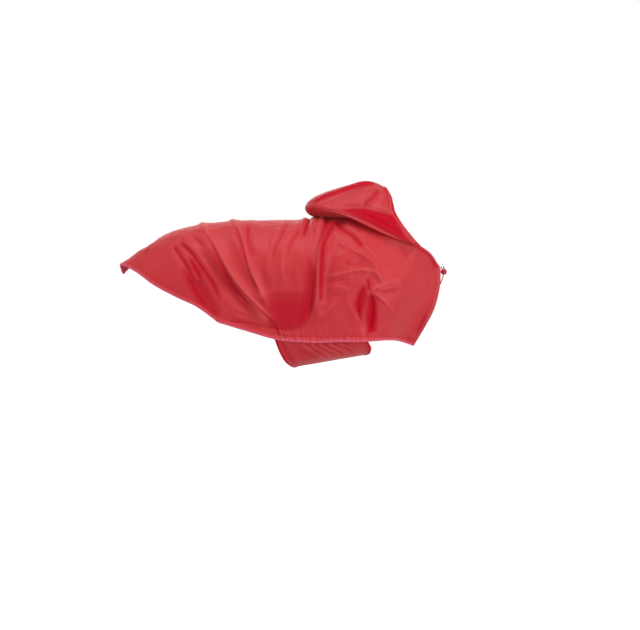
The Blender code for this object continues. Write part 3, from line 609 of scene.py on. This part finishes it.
def creased(point, side):
    """The creases' rise; near the spine both sides' creases run into each other."""
    rise = crease_rise(seen(point, LEFT), CREASES_ON[side])
    near_spine = np.abs(point[..., 1]) < SPINE_BLEND
    if near_spine.any():
        close = point[near_spine]
        other = crease_rise(seen(close, LEFT), CREASES_ON[-side])
        blend = 0.5 + 0.5 * eased(np.abs(close[:, 1]) / SPINE_BLEND)
        rise[near_spine] = rise[near_spine] * blend + other * (1 - blend)
    return rise


def softened_front(point, from_front):
    """Fills the fold beside the front edge where the chest rounds straight into it."""
    upper = eased((-point[..., 2] - 0.098) / 0.02) * (0.4 + 0.6 * eased((point[..., 2] + 0.235) / 0.06))
    return FRONT_FILL * np.exp(-(((from_front - FRONT_FILL_AT) / FRONT_FILL_REACH) ** 2)) * upper


def coat(u, v, side, out=0.0, detailed=True):
    """Points, normals and crease depths of the coat at u, v on one side, moved out by a distance."""
    point, normal = read(HALF, u, v), read(FACING, u, v)
    normal /= np.linalg.norm(normal, axis=-1, keepdims=True)
    broad = fold_rise(point[..., [0, 2]], side) * np.clip(point[..., 1] / FOLD_FREE, 0, 1)
    if not detailed:
        point = point + normal * (broad + out)[..., None]
        return point * (1, side, 1), normal * (1, side, 1), np.zeros(u.shape)
    fine = creased(point, side)
    from_front = read(FROM_FRONT, u, v)
    calm = 0.25 + 0.75 * eased(from_front / (22 * MM))
    placed_point = point * (1, side, 1)
    stretched = placed_point * (1, 1, 0.55)
    crumple = (lumps(placed_point, CAPE_LUMPS) - CRUMPLE * ridges(stretched, CAPE_RIDGES)) * MM
    away = broad + fine + crumple * calm + gathers(u, read(FROM_HEM, u, v), side)
    away = away + softened_front(point, from_front)
    point = point + normal * (away + out)[..., None]
    if side == LEFT:
        near_corner = np.clip(1 - np.abs(point[..., 0] - CORNER_X) / CORNER_REACH, 0, 1)
        point[..., 2] -= CORNER_DROOP * near_corner * eased(point[..., 1] / SPINE_FREE)
    return point * (1, side, 1), normal * (1, side, 1), fine


def across_coat(u, signed_v, out=0.0):
    """What coat gives, over both sides: signed_v runs from the right hem, -1, to the left hem, 1."""
    point, normal = np.zeros((*signed_v.shape, 3)), np.zeros((*signed_v.shape, 3))
    depth = np.zeros(signed_v.shape)
    for side in (RIGHT, LEFT):
        here = signed_v < 0 if side == RIGHT else signed_v >= 0
        point[here], normal[here], depth[here] = coat(u[here], np.abs(signed_v[here]), side, out)
    point[..., 1] = np.where(signed_v == 0, 0, point[..., 1])
    return point, normal, depth


# Each edge's distances, whether it is at the end of its lines, and whether those run along the rows.
REAR, FRONT, HEM = (FROM_REAR, False, False), (FROM_FRONT, True, False), (FROM_HEM, True, True)


def inset(edge, width):
    """The share at which a distance in from an edge is reached, for each row or column."""
    distances, from_end, along_rows = edge
    lines = distances if along_rows else distances.T
    if from_end:
        lines = lines[:, ::-1]
    half = DENSE // 2
    shares = np.array([np.interp(width, line[:half], SHARES[:half]) for line in lines])
    return 1 - shares if from_end else shares


def placed(share_u, share_v, u_from, u_to, v_to):
    """The u and v of shares between the cloth's insets, found by turns."""
    u, v = share_u + 0 * share_v, share_v + 0 * share_u
    for _ in range(TURNS):
        limit = np.interp(u, SHARES, v_to)
        v = np.abs(share_v) * limit
        low, high = np.interp(v, SHARES, u_from), np.interp(v, SHARES, u_to)
        u = low + share_u * (high - low)
    return u, v * np.sign(share_v)


def places_at(x, z):
    """The u and v of points of the side view, found by turns along rows and columns."""
    u, v = np.full(x.shape, 0.5), np.full(x.shape, 0.5)
    for _ in range(TURNS):
        for k in np.ndindex(x.shape):
            column = read(HALF, SHARES, np.full(DENSE, v[k]))
            u[k] = np.interp(x[k], column[:, 0], SHARES)
            ring = read(HALF, np.full(DENSE, u[k]), SHARES)
            v[k] = np.interp(-z[k], -ring[:, 2], SHARES)
    return u, v


# ---- materials


def srgb(red, green, blue):
    parts = [c / 255 for c in (red, green, blue)]
    return tuple(c / 12.92 if c <= 0.04045 else ((c + 0.055) / 1.055) ** 2.4 for c in parts) + (1,)


class Finish:
    """A material in the making. Inputs go by name, an underscore for each space, as values or links."""

    def __init__(self, name):
        self.material = bpy.data.materials.new(name)
        self.material.use_nodes = True
        self.nodes, self.links = self.material.node_tree.nodes, self.material.node_tree.links
        self.shader = self.nodes["Principled BSDF"]

    def put(self, socket, value):
        if isinstance(value, bpy.types.NodeSocket):
            self.links.new(value, socket)
        else:
            socket.default_value = value

    def fill(self, node, **values):
        for name, value in values.items():
            self.put(node.inputs[name.replace("_", " ")], value)
        return node

    def add(self, kind, **values):
        return self.fill(self.nodes.new("ShaderNode" + kind), **values)

    def in_order(self, node, *values):
        for socket, value in zip(node.inputs, values):
            self.put(socket, value)
        return node.outputs[0]

    def clamped(self, operation, first, second):
        node = self.add("Math")
        node.operation, node.use_clamp = operation, True
        return self.in_order(node, first, second)

    def blend(self, share, first, second):
        node = self.add("Mix")
        node.data_type = "RGBA"
        return self.fill(node, Factor=share, A=first, B=second).outputs["Result"]

    def ramp(self, share, first, second):
        node = self.add("ValToRGB", Fac=share)
        for element, colour in zip(node.color_ramp.elements, (first, second)):
            element.color = colour
        return node.outputs["Color"]

    def pattern(self, kind, output, **values):
        return self.add(kind, Vector=self.add("TexCoord").outputs["Object"], **values).outputs[output]


def nylon(name, light, shade_colour, crest_highlight, roughness, through=0.16):
    """Thin coated taffeta with some light through it, darker and matt in folds and hollows as painted shade,
    and paler on crests as a painted highlight.
    """
    made = Finish(name)
    # The attribute read here is painted shade where above 0 and a painted highlight where below 0.
    attribute = made.add("Attribute")
    attribute.attribute_name = "painted_shade_and_highlight"
    painted_shade_and_highlight = attribute.outputs["Fac"]
    cloudy = made.pattern("TexNoise", "Fac", Scale=9, Detail=3)
    vary = made.add("MapRange", Value=cloudy, From_Min=0.3, From_Max=0.7, To_Min=-0.08, To_Max=0.08)
    # Painted shade, with a little random tone: the colour darkens toward the shade colour as the attribute
    # rises.
    colour = made.blend(made.clamped("ADD", painted_shade_and_highlight, vary.outputs["Result"]), light, shade_colour)
    # Painted highlight: the colour pales toward the crest colour as the attribute falls below 0.
    base = made.blend(made.clamped("MULTIPLY", painted_shade_and_highlight, -1), colour, crest_highlight)
    # Weave: warp and weft ribs half a millimetre apart, over a crinkle of a few millimetres.
    ribs = []
    for axis in ("X", "Z"):
        wave = made.pattern("TexWave", "Fac", Scale=620, Distortion=0.6)
        wave.node.bands_direction = axis
        ribs.append(wave)
    weave = made.add("Bump", Strength=0.12, Distance=0.1 * MM, Height=made.clamped("MAXIMUM", *ribs))
    crinkle = made.pattern("TexNoise", "Fac", Scale=85, Detail=4, Roughness=0.55)
    crumpled = made.add(
        "Bump", Strength=0.22, Distance=1.2 * MM, Height=crinkle, Normal=weave.outputs["Normal"]
    )
    made.fill(
        made.shader, Base_Color=base, Roughness=roughness, Specular_IOR_Level=0.5,
        Sheen_Weight=0.12, Sheen_Roughness=0.45, Normal=crumpled.outputs["Normal"],
    )
    glow = made.add("BsdfTranslucent", Color=colour).outputs["BSDF"]
    matt = made.add("BsdfDiffuse", Color=shade_colour).outputs["BSDF"]
    cloth_alone = made.in_order(made.add("MixShader"), through, made.shader.outputs["BSDF"], glow)
    # Painted shade also turns the cloth matt, without its reflection, where the attribute is high.
    painted_shade_matt_share = made.clamped("MULTIPLY", painted_shade_and_highlight, 0.85)
    surface = made.in_order(made.add("MixShader"), painted_shade_matt_share, cloth_alone, matt)
    made.links.new(surface, made.nodes["Material Output"].inputs["Surface"])
    return made.material


def thread_material():
    made = Finish("Thread")
    twist = made.pattern("TexNoise", "Fac", Scale=900)
    colour = made.ramp(twist, srgb(216, 70, 92), srgb(240, 130, 146))
    made.fill(made.shader, Base_Color=colour, Roughness=0.55)
    return made.material


def cord_material():
    made = Finish("Braided cord")
    braid = made.pattern("TexVoronoi", "Distance", Scale=1300)
    bump = made.add("Bump", Strength=0.5, Distance=0.2 * MM, Height=braid)
    made.fill(
        made.shader, Base_Color=made.ramp(braid, srgb(186, 24, 48), srgb(146, 8, 32)),
        Normal=bump.outputs["Normal"], Roughness=0.5, Sheen_Weight=0.2,
    )
    return made.material


def plastic_material():
    made = Finish("Toggle plastic")
    wear = made.pattern("TexNoise", "Fac", Scale=260, Detail=5)
    rough = made.add("MapRange", Value=wear, To_Min=0.24, To_Max=0.38)
    made.fill(
        made.shader, Base_Color=made.ramp(wear, srgb(146, 4, 34), srgb(172, 14, 48)),
        Roughness=rough.outputs["Result"], Coat_Weight=0.2, Coat_Roughness=0.08,
    )
    return made.material


# Each: the cloth's own colour, the colour of painted shade, the colour of painted highlight, roughness, light
# through it.
NYLON = nylon("Red nylon", srgb(206, 38, 46), srgb(188, 6, 34), srgb(224, 84, 88), 0.57)
HEM_NYLON = nylon("Red nylon, turned", srgb(206, 36, 50), srgb(190, 6, 34), srgb(226, 82, 108), 0.52, 0.06)
THREAD = thread_material()
CORD = cord_material()
PLASTIC = plastic_material()

# ---- making pieces


def new_object(name, data):
    made = bpy.data.objects.new(name, data)
    bpy.context.scene.collection.objects.link(made)
    return made


def add_piece(name, points, faces, finish, painted_shade_and_highlight=None):
    mesh = bpy.data.meshes.new(name)
    mesh.from_pydata(points.reshape(-1, 3).tolist(), [], faces)
    mesh.materials.append(finish)
    mesh.shade_smooth()
    # The painted shade and highlight go on as a point attribute that the nylon reads.
    if painted_shade_and_highlight is not None:
        attribute = mesh.attributes.new("painted_shade_and_highlight", "FLOAT", "POINT")
        attribute.data.foreach_set("value", painted_shade_and_highlight.ravel().astype(np.float32))
    made = new_object(name, mesh)
    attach(made, "root")
    return made


def grid_faces(rows, columns, start=0):
    i, j = np.meshgrid(np.arange(rows - 1), np.arange(columns - 1), indexing="ij")
    k = (start + i * columns + j).ravel()
    return np.stack([k, k + columns, k + columns + 1, k + 1], axis=1).tolist()


def cloth(name, grid, finish, painted_shade_and_highlight=None):
    return add_piece(name, grid, grid_faces(*grid.shape[:2]), finish, painted_shade_and_highlight)


def hem_profile(count, grooves):
    """Half thickness across a hem: rounded at both sides, dipped along each row of stitches."""
    across = np.linspace(0, 1, count)
    height = (1 - np.abs(2 * across - 1) ** 5) ** 0.5
    for at in grooves:
        height = height * (1 - 0.38 * np.exp(-(((across - at) / 0.07) ** 2)))
    return np.maximum(height, 0.12)


def tube(name, middle, normal, thickness, grooves, finish, painted_shade_and_highlight=None):
    """A flat closed tube round a strip of the surface: stations by places across it."""
    stations, count = middle.shape[:2]
    height = hem_profile(count, grooves)[None, :, None] * thickness / 2
    ring = np.concatenate([middle + normal * height, (middle - normal * height)[:, ::-1]], axis=1)
    width = ring.shape[1]
    faces = []
    for i in range(stations - 1):
        for j in range(width):
            a, b = i * width + j, i * width + (j + 1) % width
            faces.append((a, b, b + width, a + width))
    faces.append(tuple(range(width))[::-1])
    faces.append(tuple((stations - 1) * width + j for j in range(width)))
    shade = None
    if painted_shade_and_highlight is not None:
        shade = np.tile(np.concatenate([painted_shade_and_highlight, painted_shade_and_highlight[::-1]]), (stations, 1))
    return add_piece(name, ring, faces, finish, shade)


def shading(depth, trough_shade, crest_highlight):
    """Painted shade in troughs, painted highlight on crests: each with its share of the colour and its depth
    at full colour.
    """
    return trough_shade[0] * eased(-depth / trough_shade[1]) - crest_highlight[0] * eased(depth / crest_highlight[1])


def edge_highlight(across, share):
    """Paler along the outer share of a hem, where across is 0, than on the rest: a painted highlight."""
    return -eased((share + 0.15 - across) / 0.3)


STITCHES = []


def stitch(middle, normal, lift, every=2.9 * MM, length=2.1 * MM, radius=0.28 * MM):
    """Lays thread along a line: one small spindle for each stitch."""
    count = max(2, int(spans(middle)[-1] / every))
    fine = evenly(np.concatenate([middle, normal], axis=1) * (1, 1, 1, MM, MM, MM), count * 2 + 1)
    at, up = fine[1::2, :3], fine[1::2, 3:]
    along = fine[2::2, :3] - fine[:-2:2, :3]
    along /= np.linalg.norm(along, axis=1, keepdims=True)
    up = up - along * np.sum(up * along, axis=1, keepdims=True)
    up /= np.linalg.norm(up, axis=1, keepdims=True)
    side = np.cross(along, up)
    at = at + up * lift
    STITCHES.append((at, along * length / 2, up * radius, side * radius))


def add_hem(node, middle, normal, thickness, grooves, finish, threads, lift, painted_shade_and_highlight):
    """A hem in its solid's place, with a row of stitches along each of the given places across it."""
    made = tube(f"{node}_cloth", middle, normal, thickness, grooves, finish, painted_shade_and_highlight)
    for k in threads:
        stitch(middle[:, k], normal[:, k], lift)
    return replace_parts(made, node)


def widths_in(edge, width, across, along):
    """Where each part of a hem's width is reached, at places along its edge."""
    places = [np.interp(along[:, k], SHARES, inset(edge, width * share)) for k, share in enumerate(across)]
    return np.stack(places, axis=1)


def build_stitches(name):
    points, faces = [], []
    for at, along, up, side in STITCHES:
        for c, a, n, s in zip(at, along, up, side):
            k = len(points)
            points.append(c - a - n * 0.9)
            for share in (-0.45, 0.45):
                points.extend(c + a * share + w for w in (n, s, -n, -s))
            points.append(c + a - n * 0.9)
            for j in range(4):
                m = (j + 1) % 4
                faces.append((k, k + 1 + m, k + 1 + j))
                faces.append((k + 1 + j, k + 1 + m, k + 5 + m, k + 5 + j))
                faces.append((k + 5 + j, k + 5 + m, k + 9))
    return add_piece(name, np.array(points), faces, THREAD)


# ---- the cape and its hems


def build_cape():
    share_u = np.linspace(0, 1, CAPE_COLUMNS)[:, None]
    share_v = np.linspace(-1, 1, 2 * CAPE_HALF_ROWS + 1)[None]
    u, v = placed(
        share_u, share_v, inset(REAR, REAR_HEM_WIDTH * CLOTH_IN_HEM),
        inset(FRONT, FRONT_HEM_WIDTH * CLOTH_IN_HEM), inset(HEM, SIDE_CASING_WIDTH * CLOTH_IN_HEM),
    )
    points, _, depth = across_coat(u, v, CLOTH / 2)
    # Painted shade in the creases' troughs and painted highlight on their crests, then painted shade by
    # patches.
    painted_shade_and_highlight = shading(depth, (0.7, 3 * MM), (0.45, 4.5 * MM))
    for side in (RIGHT, LEFT):
        here = v * side > 0
        painted_shade_and_highlight[here] += (1 - painted_shade_and_highlight[here]) * painted_shade_share(seen(points[here], side), SHADE_PATCHES_ON[side])
    cape = cloth("cape_cloth", points, NYLON, painted_shade_and_highlight)
    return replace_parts(cape, "cape")


def build_rear_hem():
    share = np.linspace(-1, 1, REAR_HEM_STATIONS)[:, None]
    across = np.linspace(1, 0, WIDE_ACROSS)
    v = share * inset(HEM, SIDE_CASING_WIDTH * 0.75)[0] + 0 * across
    u = widths_in(REAR, REAR_HEM_WIDTH, across, np.abs(v))
    middle, normal, _ = across_coat(u, v, CLOTH / 2)
    # A painted highlight along the hem's outer half.
    painted_shade_and_highlight = edge_highlight(across, 0.5)
    return add_hem(
        "rear_hem", middle, normal, HEM_THICKNESS, (0.22, 0.8), HEM_NYLON, (2, 8), 0.75 * MM, painted_shade_and_highlight
    )


def build_front_strip(node, v, across, thickness, groove, finish, thread, lift, depth):
    v = v[:, None] + 0 * across
    u = widths_in(FRONT, FRONT_HEM_WIDTH, across, np.abs(v))
    middle, normal, _ = across_coat(u, v, CLOTH / 2)
    # Painted highlight along the outer edge; inward, painted shade where depth is above 0 and a painted
    # highlight where below.
    painted_shade_and_highlight = edge_highlight(across, 0.15) + depth * eased((across - 0.3) / 0.3)
    return add_hem(node, middle, normal, thickness, (groove,), finish, (thread,), lift, painted_shade_and_highlight)


def build_neck_casing():
    v = np.linspace(-THROAT_V, THROAT_V, NECK_STATIONS)
    across = np.linspace(1, 0, WIDE_ACROSS)
    return build_front_strip(
        "neck_casing", v, across, NECK_CASING_THICKNESS, 0.12, HEM_NYLON, 1, 0.8 * MM, 0.7
    )


def build_front_edge(side, word):
    end = inset(HEM, SIDE_CASING_WIDTH * 0.6)[-1]
    v = np.linspace(THROAT_V + 0.004, end, FRONT_STATIONS)
    if side == RIGHT:
        v = -v[::-1]
    across = np.linspace(1, 0, NARROW_ACROSS)
    return build_front_strip(
        f"front_edge_{word}", v, across, FRONT_HEM_THICKNESS, 0.2, NYLON, 2, 0.75 * MM, -0.25
    )


def build_side_casing(side, word):
    plain = np.linspace(0, GATHER_START, PLAIN_STATIONS)
    gathered = np.linspace(GATHER_START, 1, GATHERS * STATIONS_PER_PUCKER + 1)
    across = np.linspace(1, 0, NARROW_ACROSS)
    u = np.concatenate([plain[:-1], gathered])[:, None] + 0 * across
    v = widths_in(HEM, SIDE_CASING_WIDTH, across, u)
    if side == LEFT:
        u, v = u[::-1], v[::-1]
    middle, normal, _ = coat(u, v, side, CLOTH / 2)
    plump = eased((u[:, :1] - GATHER_START) / 0.03)[..., None]
    middle = middle + normal * (0.25 * MM) * plump * np.sin(math.pi * across)[None, :, None]
    # The last argument: a painted highlight along the casing's outer half.
    return add_hem(
        f"hem_casing_{word}", middle, normal, SIDE_CASING_THICKNESS, (0.14, 0.86), HEM_NYLON, (1, 7),
        0.9 * MM, edge_highlight(across, 0.5),
    )


# ---- the hood


def hood_lower_layer(shares):
    table = np.array(HOOD_FOOT)
    foot = hermite(table[:, 0], table[:, 1:], shares)
    seam = np.stack([np.ones(len(shares)), shares * HOOD_END_V], axis=1)
    rows = []
    for along, above in ((0, HOOD_ABOVE_CASING), (HOOD_SEAM_SHARE, HOOD_ABOVE_CASING), *HOOD_REST):
        place = seam + along * (foot - seam)
        rows.append(coat(place[:, 0], place[:, 1], RIGHT, above, detailed=False)[0])
    return rows


def hood_half():
    """The right half of the hood's outer face: sections from the nape to the seam's end."""
    half = np.linspace(0, 1, HOOD_HALF_COLUMNS + 1)
    shares = np.array([row[0] for row in HOOD_SECTIONS])
    table = np.array([row[1:] for row in HOOD_SECTIONS], float) * MM
    mirrored = np.concatenate([table[:0:-1] * (1, -1, 1), table])
    knots = np.concatenate([-shares[:0:-1], shares])
    upper = hermite(knots, mirrored, half)
    upper[..., 1] *= RIGHT
    rows = np.stack(hood_lower_layer(half) + [upper[:, k] for k in range(upper.shape[1])], axis=1)
    rows[0, :, 1] = 0
    return rows


def hood_surface(rows, at):
    """The hood's right half with its creases, at places along each section, with normals and depths."""
    steps = np.arange(rows.shape[1], dtype=float)
    right = np.stack([hermite(steps, section, at) for section in rows])
    normal = np.cross(np.gradient(right, axis=0), np.gradient(right, axis=1))
    normal /= -np.linalg.norm(normal, axis=-1, keepdims=True) - 1e-12
    normal[0, :, 1] = 0
    upper = eased((at - HOOD_UPPER_FROM) / HOOD_UPPER_FADE)[None]
    free = eased(np.abs(right[..., 1]) / (14 * MM))
    creases = crease_rise(seen(right, RIGHT), HOOD_CREASES) * upper * (0.35 + 0.65 * free)
    crumple = lumps(right, HOOD_LUMPS) - ridges(right, HOOD_RIDGES)
    beside_hem = np.exp(-(((at - HOOD_HEM_FROM) / 0.35) ** 2))[None]
    puckers = np.sin(np.arange(len(rows)) * 0.9)[:, None] * beside_hem
    rise = creases + (crumple * free + 0.45 * puckers) * MM * upper - 0.5 * CLOTH
    right = right + normal * rise[..., None]
    right[0, :, 1] = 0
    return right, normal, creases * upper


def both_sides(right):
    return np.concatenate([right[:0:-1] * ((1, -1, 1) if right.ndim == 3 else 1), right])


def build_hood():
    rows = hood_half()
    last = rows.shape[1] - 1.0
    right, normal, depth = hood_surface(rows, np.linspace(0, last - 0.15, HOOD_ROWS))
    # Painted shade in the creases' troughs and painted highlight on their crests, then painted shade by
    # patches on the outer rows.
    painted_shade_and_highlight = shading(depth, (0.6, 3 * MM), (0.5, 4 * MM))
    outer = np.arange(HOOD_ROWS) > HOOD_ROWS * 0.4
    painted_shade_and_highlight += (1 - painted_shade_and_highlight) * painted_shade_share(seen(right, RIGHT), HOOD_SHADE_PATCHES) * outer
    hood = cloth("hood_cloth", both_sides(right)[:, ::-1], NYLON, both_sides(painted_shade_and_highlight)[:, ::-1])
    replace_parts(hood, "hood")
    strip, out, _ = hood_surface(rows, np.linspace(HOOD_HEM_FROM, last, WIDE_ACROSS))
    middle, out = both_sides(strip), both_sides(out)
    # Painted highlight along the hem's borders, painted shade in its middle.
    shade = np.array([-0.6, -0.2, 0.8, 0.9, 0.9, 0.9, 0.9, 0.8, -0.2, -0.9, -0.5])
    hem = add_hem("hood_hem", middle, out, HEM_THICKNESS, (0.15, 0.85), HEM_NYLON, (1, 9), 0.8 * MM, shade)
    return hood, hem


# ---- the belly band


def band_surface():
    """The band's outer face, fine enough for its creases: rows from the tab's top, under, and up."""
    share = np.linspace(0, 1, BAND_COLUMNS)
    x = (TAB_X[0] + share * (TAB_X[1] - TAB_X[0])) * MM
    tab_z = np.linspace(TAB_Z[0], TAB_Z[-1], TAB_ROWS) * MM
    tab = list(coat(*places_at(*np.meshgrid(x, tab_z)), RIGHT, -TAB_CLEARANCE)[0])
    rows = []
    for y, rear_x, rear_z, front_x, front_z in np.array(BAND_ROWS) * MM:
        row_x, row_z = rear_x + share * (front_x - rear_x), rear_z + share * (front_z - rear_z)
        rows.append(np.stack([row_x, np.full(len(share), y), row_z], axis=1))
    coarse = np.stack(tab + rows)
    knots = spans(coarse.mean(axis=1))
    fine = np.linspace(knots[TAB_ROWS - 1], knots[-1], BAND_FINE_ROWS)
    return hermite(knots, coarse, np.concatenate([knots[: TAB_ROWS - 1], fine]))


def build_band():
    grid = band_surface()
    normal = np.cross(np.gradient(grid, axis=1), np.gradient(grid, axis=0))
    normal /= np.linalg.norm(normal, axis=-1, keepdims=True)
    if normal[len(grid) // 2, BAND_COLUMNS // 2, 2] > 0:
        normal = -normal
    free = np.clip((np.arange(len(grid)) - TAB_ROWS - CREASES_FROM) / CREASES_GROW, 0, 1)[:, None]
    places = seen(grid, RIGHT)
    rise = crease_rise(places, BAND_CREASES) * (grid[..., 1] < 0) * free
    mirrored = seen(grid * (1, -1, 1), RIGHT)
    rise = rise + crease_rise(mirrored, BAND_CREASES[::2]) * (grid[..., 1] > 0) * 0.8
    rise = rise + lumps(grid, BAND_LUMPS) * MM * free
    grid = grid + normal * (rise * free - 0.6 * MM)[..., None]
    # Painted shade in the creases' troughs and painted highlight on their crests, then painted shade by
    # patches.
    painted_shade_and_highlight = shading(rise, (0.7, 3 * MM), (0.5, 3 * MM))
    painted_shade_and_highlight += (1 - painted_shade_and_highlight) * painted_shade_share(places, BAND_SHADE_PATCHES) * (grid[..., 1] < 20 * MM)
    band = cloth("belly_band_cloth", grid, NYLON, painted_shade_and_highlight)
    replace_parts(band, "belly_band")
    hems = []
    start = TAB_ROWS + HEMS_FROM
    for word, border, inward in (("rear", 0, 1), ("front", -1, -2)):
        edge, face = grid[start:, border], normal[start:, border]
        away = edge - grid[start:, inward]
        away /= np.linalg.norm(away, axis=1, keepdims=True)
        across = np.linspace(-0.1, 1.05, NARROW_ACROSS) * BAND_HEM_WIDTH
        middle = edge[:, None] + away[:, None] * across[None, :, None]
        out = np.repeat(face[:, None], NARROW_ACROSS, axis=1)
        if word == "rear":
            middle, out = middle[::-1], out[::-1]
        # Painted highlight along the hem's outer edge, painted shade on the rest.
        shade = 0.9 * eased(np.linspace(0, 1, NARROW_ACROSS) / 0.3) - 0.2
        hems.append(add_hem(
            f"band_hem_{word}", middle, out, HEM_THICKNESS, (0.2, 0.84), HEM_NYLON, (2,), 0.75 * MM, shade
        ))
    return band, hems


# ---- toggle and cord


def build_toggle():
    """A ball with a flat, rimmed mouth at each end of its cord channel, turned about the channel."""
    rim, depth, steps = 3.1 * MM, 1.6 * MM, 26
    end = math.sqrt(TOGGLE_RADIUS**2 - rim**2)
    profile = [(0.2 * MM, end - depth), (rim - 0.9 * MM, end - depth), (rim - 0.7 * MM, end - 0.3 * MM)]
    profile += [(rim - 0.35 * MM, end + 0.12 * MM)]
    first = math.acos(end / TOGGLE_RADIUS) + 0.03
    for k in range(steps + 1):
        angle = first + (math.pi - 2 * first) * k / steps
        groove = 1 - 0.022 * math.exp(-(((angle - math.pi / 2) / 0.05) ** 2))
        profile.append((TOGGLE_RADIUS * math.sin(angle) * groove, TOGGLE_RADIUS * math.cos(angle) * groove))
    profile += [(r, -z) for r, z in profile[3::-1]]
    around = 48
    angles = np.linspace(0, 2 * math.pi, around, endpoint=False)
    points = np.array([[(r * math.cos(a), r * math.sin(a), z) for a in angles] for r, z in profile])
    faces = []
    for i in range(len(profile) - 1):
        for j in range(around):
            a, b = i * around + j, i * around + (j + 1) % around
            faces.append((a, a + around, b + around, b))
    faces.append(tuple(range(around)))
    faces.append(tuple((len(profile) - 1) * around + j for j in range(around))[::-1])
    toggle = add_piece("toggle_ball", points + np.array(TOGGLE_CENTRE), faces, PLASTIC)
    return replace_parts(toggle, "toggle")


def build_cord():
    route = evenly(smooth(CORD_ROUTE, 300), 90) * MM
    curve = bpy.data.curves.new("drawcord", "CURVE")
    curve.dimensions = "3D"
    curve.bevel_depth = CORD_RADIUS
    curve.bevel_resolution = 4
    curve.use_fill_caps = True
    spline = curve.splines.new("POLY")
    spline.points.add(len(route) - 1)
    for place, point in zip(spline.points, route):
        place.co = (*point, 1)
    spline.use_smooth = True
    curve.materials.append(CORD)
    cord = new_object("drawcord", curve)
    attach(cord, "root")
    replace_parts(cord, "drawcord_near", "drawcord_far", "drawcord_loop")


# ---- stage, light and camera


def direct_view(nodes, links, seen_strength, lit_strength):
    """One strength where the floor or the wall itself is seen, and another in the light that it gives."""
    path = nodes.new("ShaderNodeLightPath")
    either = nodes.new("ShaderNodeMapRange")
    either.inputs["To Min"].default_value = lit_strength
    either.inputs["To Max"].default_value = seen_strength
    links.new(path.outputs["Is Camera Ray"], either.inputs["Value"])
    return either.outputs["Result"]


def build_stage():
    half_side, height = 8.0, -0.62
    mesh = bpy.data.meshes.new("floor")
    corners = [(x * half_side, y * half_side, height) for x, y in ((-1, -1), (1, -1), (1, 1), (-1, 1))]
    mesh.from_pydata(corners, [], [(0, 1, 2, 3)])
    made = Finish("Pale floor")
    seen_white = direct_view(made.nodes, made.links, 0.7, 0)
    made.fill(
        made.shader, Base_Color=(0.65, 0.65, 0.65, 1), Roughness=0.9, Emission_Color=(1, 1, 1, 1),
        Emission_Strength=seen_white,
    )
    mesh.materials.append(made.material)
    new_object("floor", mesh)


def add_light(name, place, aim, size, energy):
    lamp = bpy.data.lights.new(name, "AREA")
    lamp.shape = "DISK"
    lamp.size = size
    lamp.energy = energy
    made = new_object(name, lamp)
    made.location = place
    made.rotation_euler = (Vector(aim) - Vector(place)).to_track_quat("-Z", "Y").to_euler()


def build_lights():
    """A white room, a soft light above, one for the chest and a weaker one on the hidden side."""
    world = bpy.data.worlds.new("Pale studio")
    world.use_nodes = True
    nodes, links = world.node_tree.nodes, world.node_tree.links
    background = nodes["Background"]
    background.inputs["Color"].default_value = (1, 1, 1, 1)
    links.new(direct_view(nodes, links, 1.0, 0.6), background.inputs["Strength"])
    bpy.context.scene.world = world
    add_light("key", (-0.35, -0.85, 2.1), (-0.12, 0, -0.12), 1.3, 25)
    add_light("far side", (-0.5, 2.0, 0.7), (-0.12, 0, -0.12), 1.4, 11)
    add_light("chest", (1.5, -1.6, 0.1), (0.05, 0, -0.2), 0.9, 18)


def build_camera():
    camera = bpy.data.cameras.new("camera")
    camera.sensor_width = 36
    camera.lens = 112.5
    camera.clip_end = 50
    holder = new_object("camera", camera)
    aim, away = Vector((-0.060, 0, -0.202)), 4.0
    holder.location = aim + Vector(VIEW_BACK) * away
    holder.rotation_euler = Vector(-VIEW_BACK).to_track_quat("-Z", "Y").to_euler()
    bpy.context.scene.camera = holder


# ---- the scene

bpy.context.scene.view_settings.view_transform = "Standard"
build_camera()
build_stage()
build_lights()
toggle = build_toggle()
build_cord()
cape = build_cape()
cape_hems = [build_rear_hem(), build_neck_casing()]
for side, word in ((RIGHT, "right"), (LEFT, "left")):
    cape_hems += [build_front_edge(side, word), build_side_casing(side, word)]
hood, hood_hem = build_hood()
band, band_hems = build_band()
stitches = build_stitches("stitching")

bpy.context.view_layer.update()
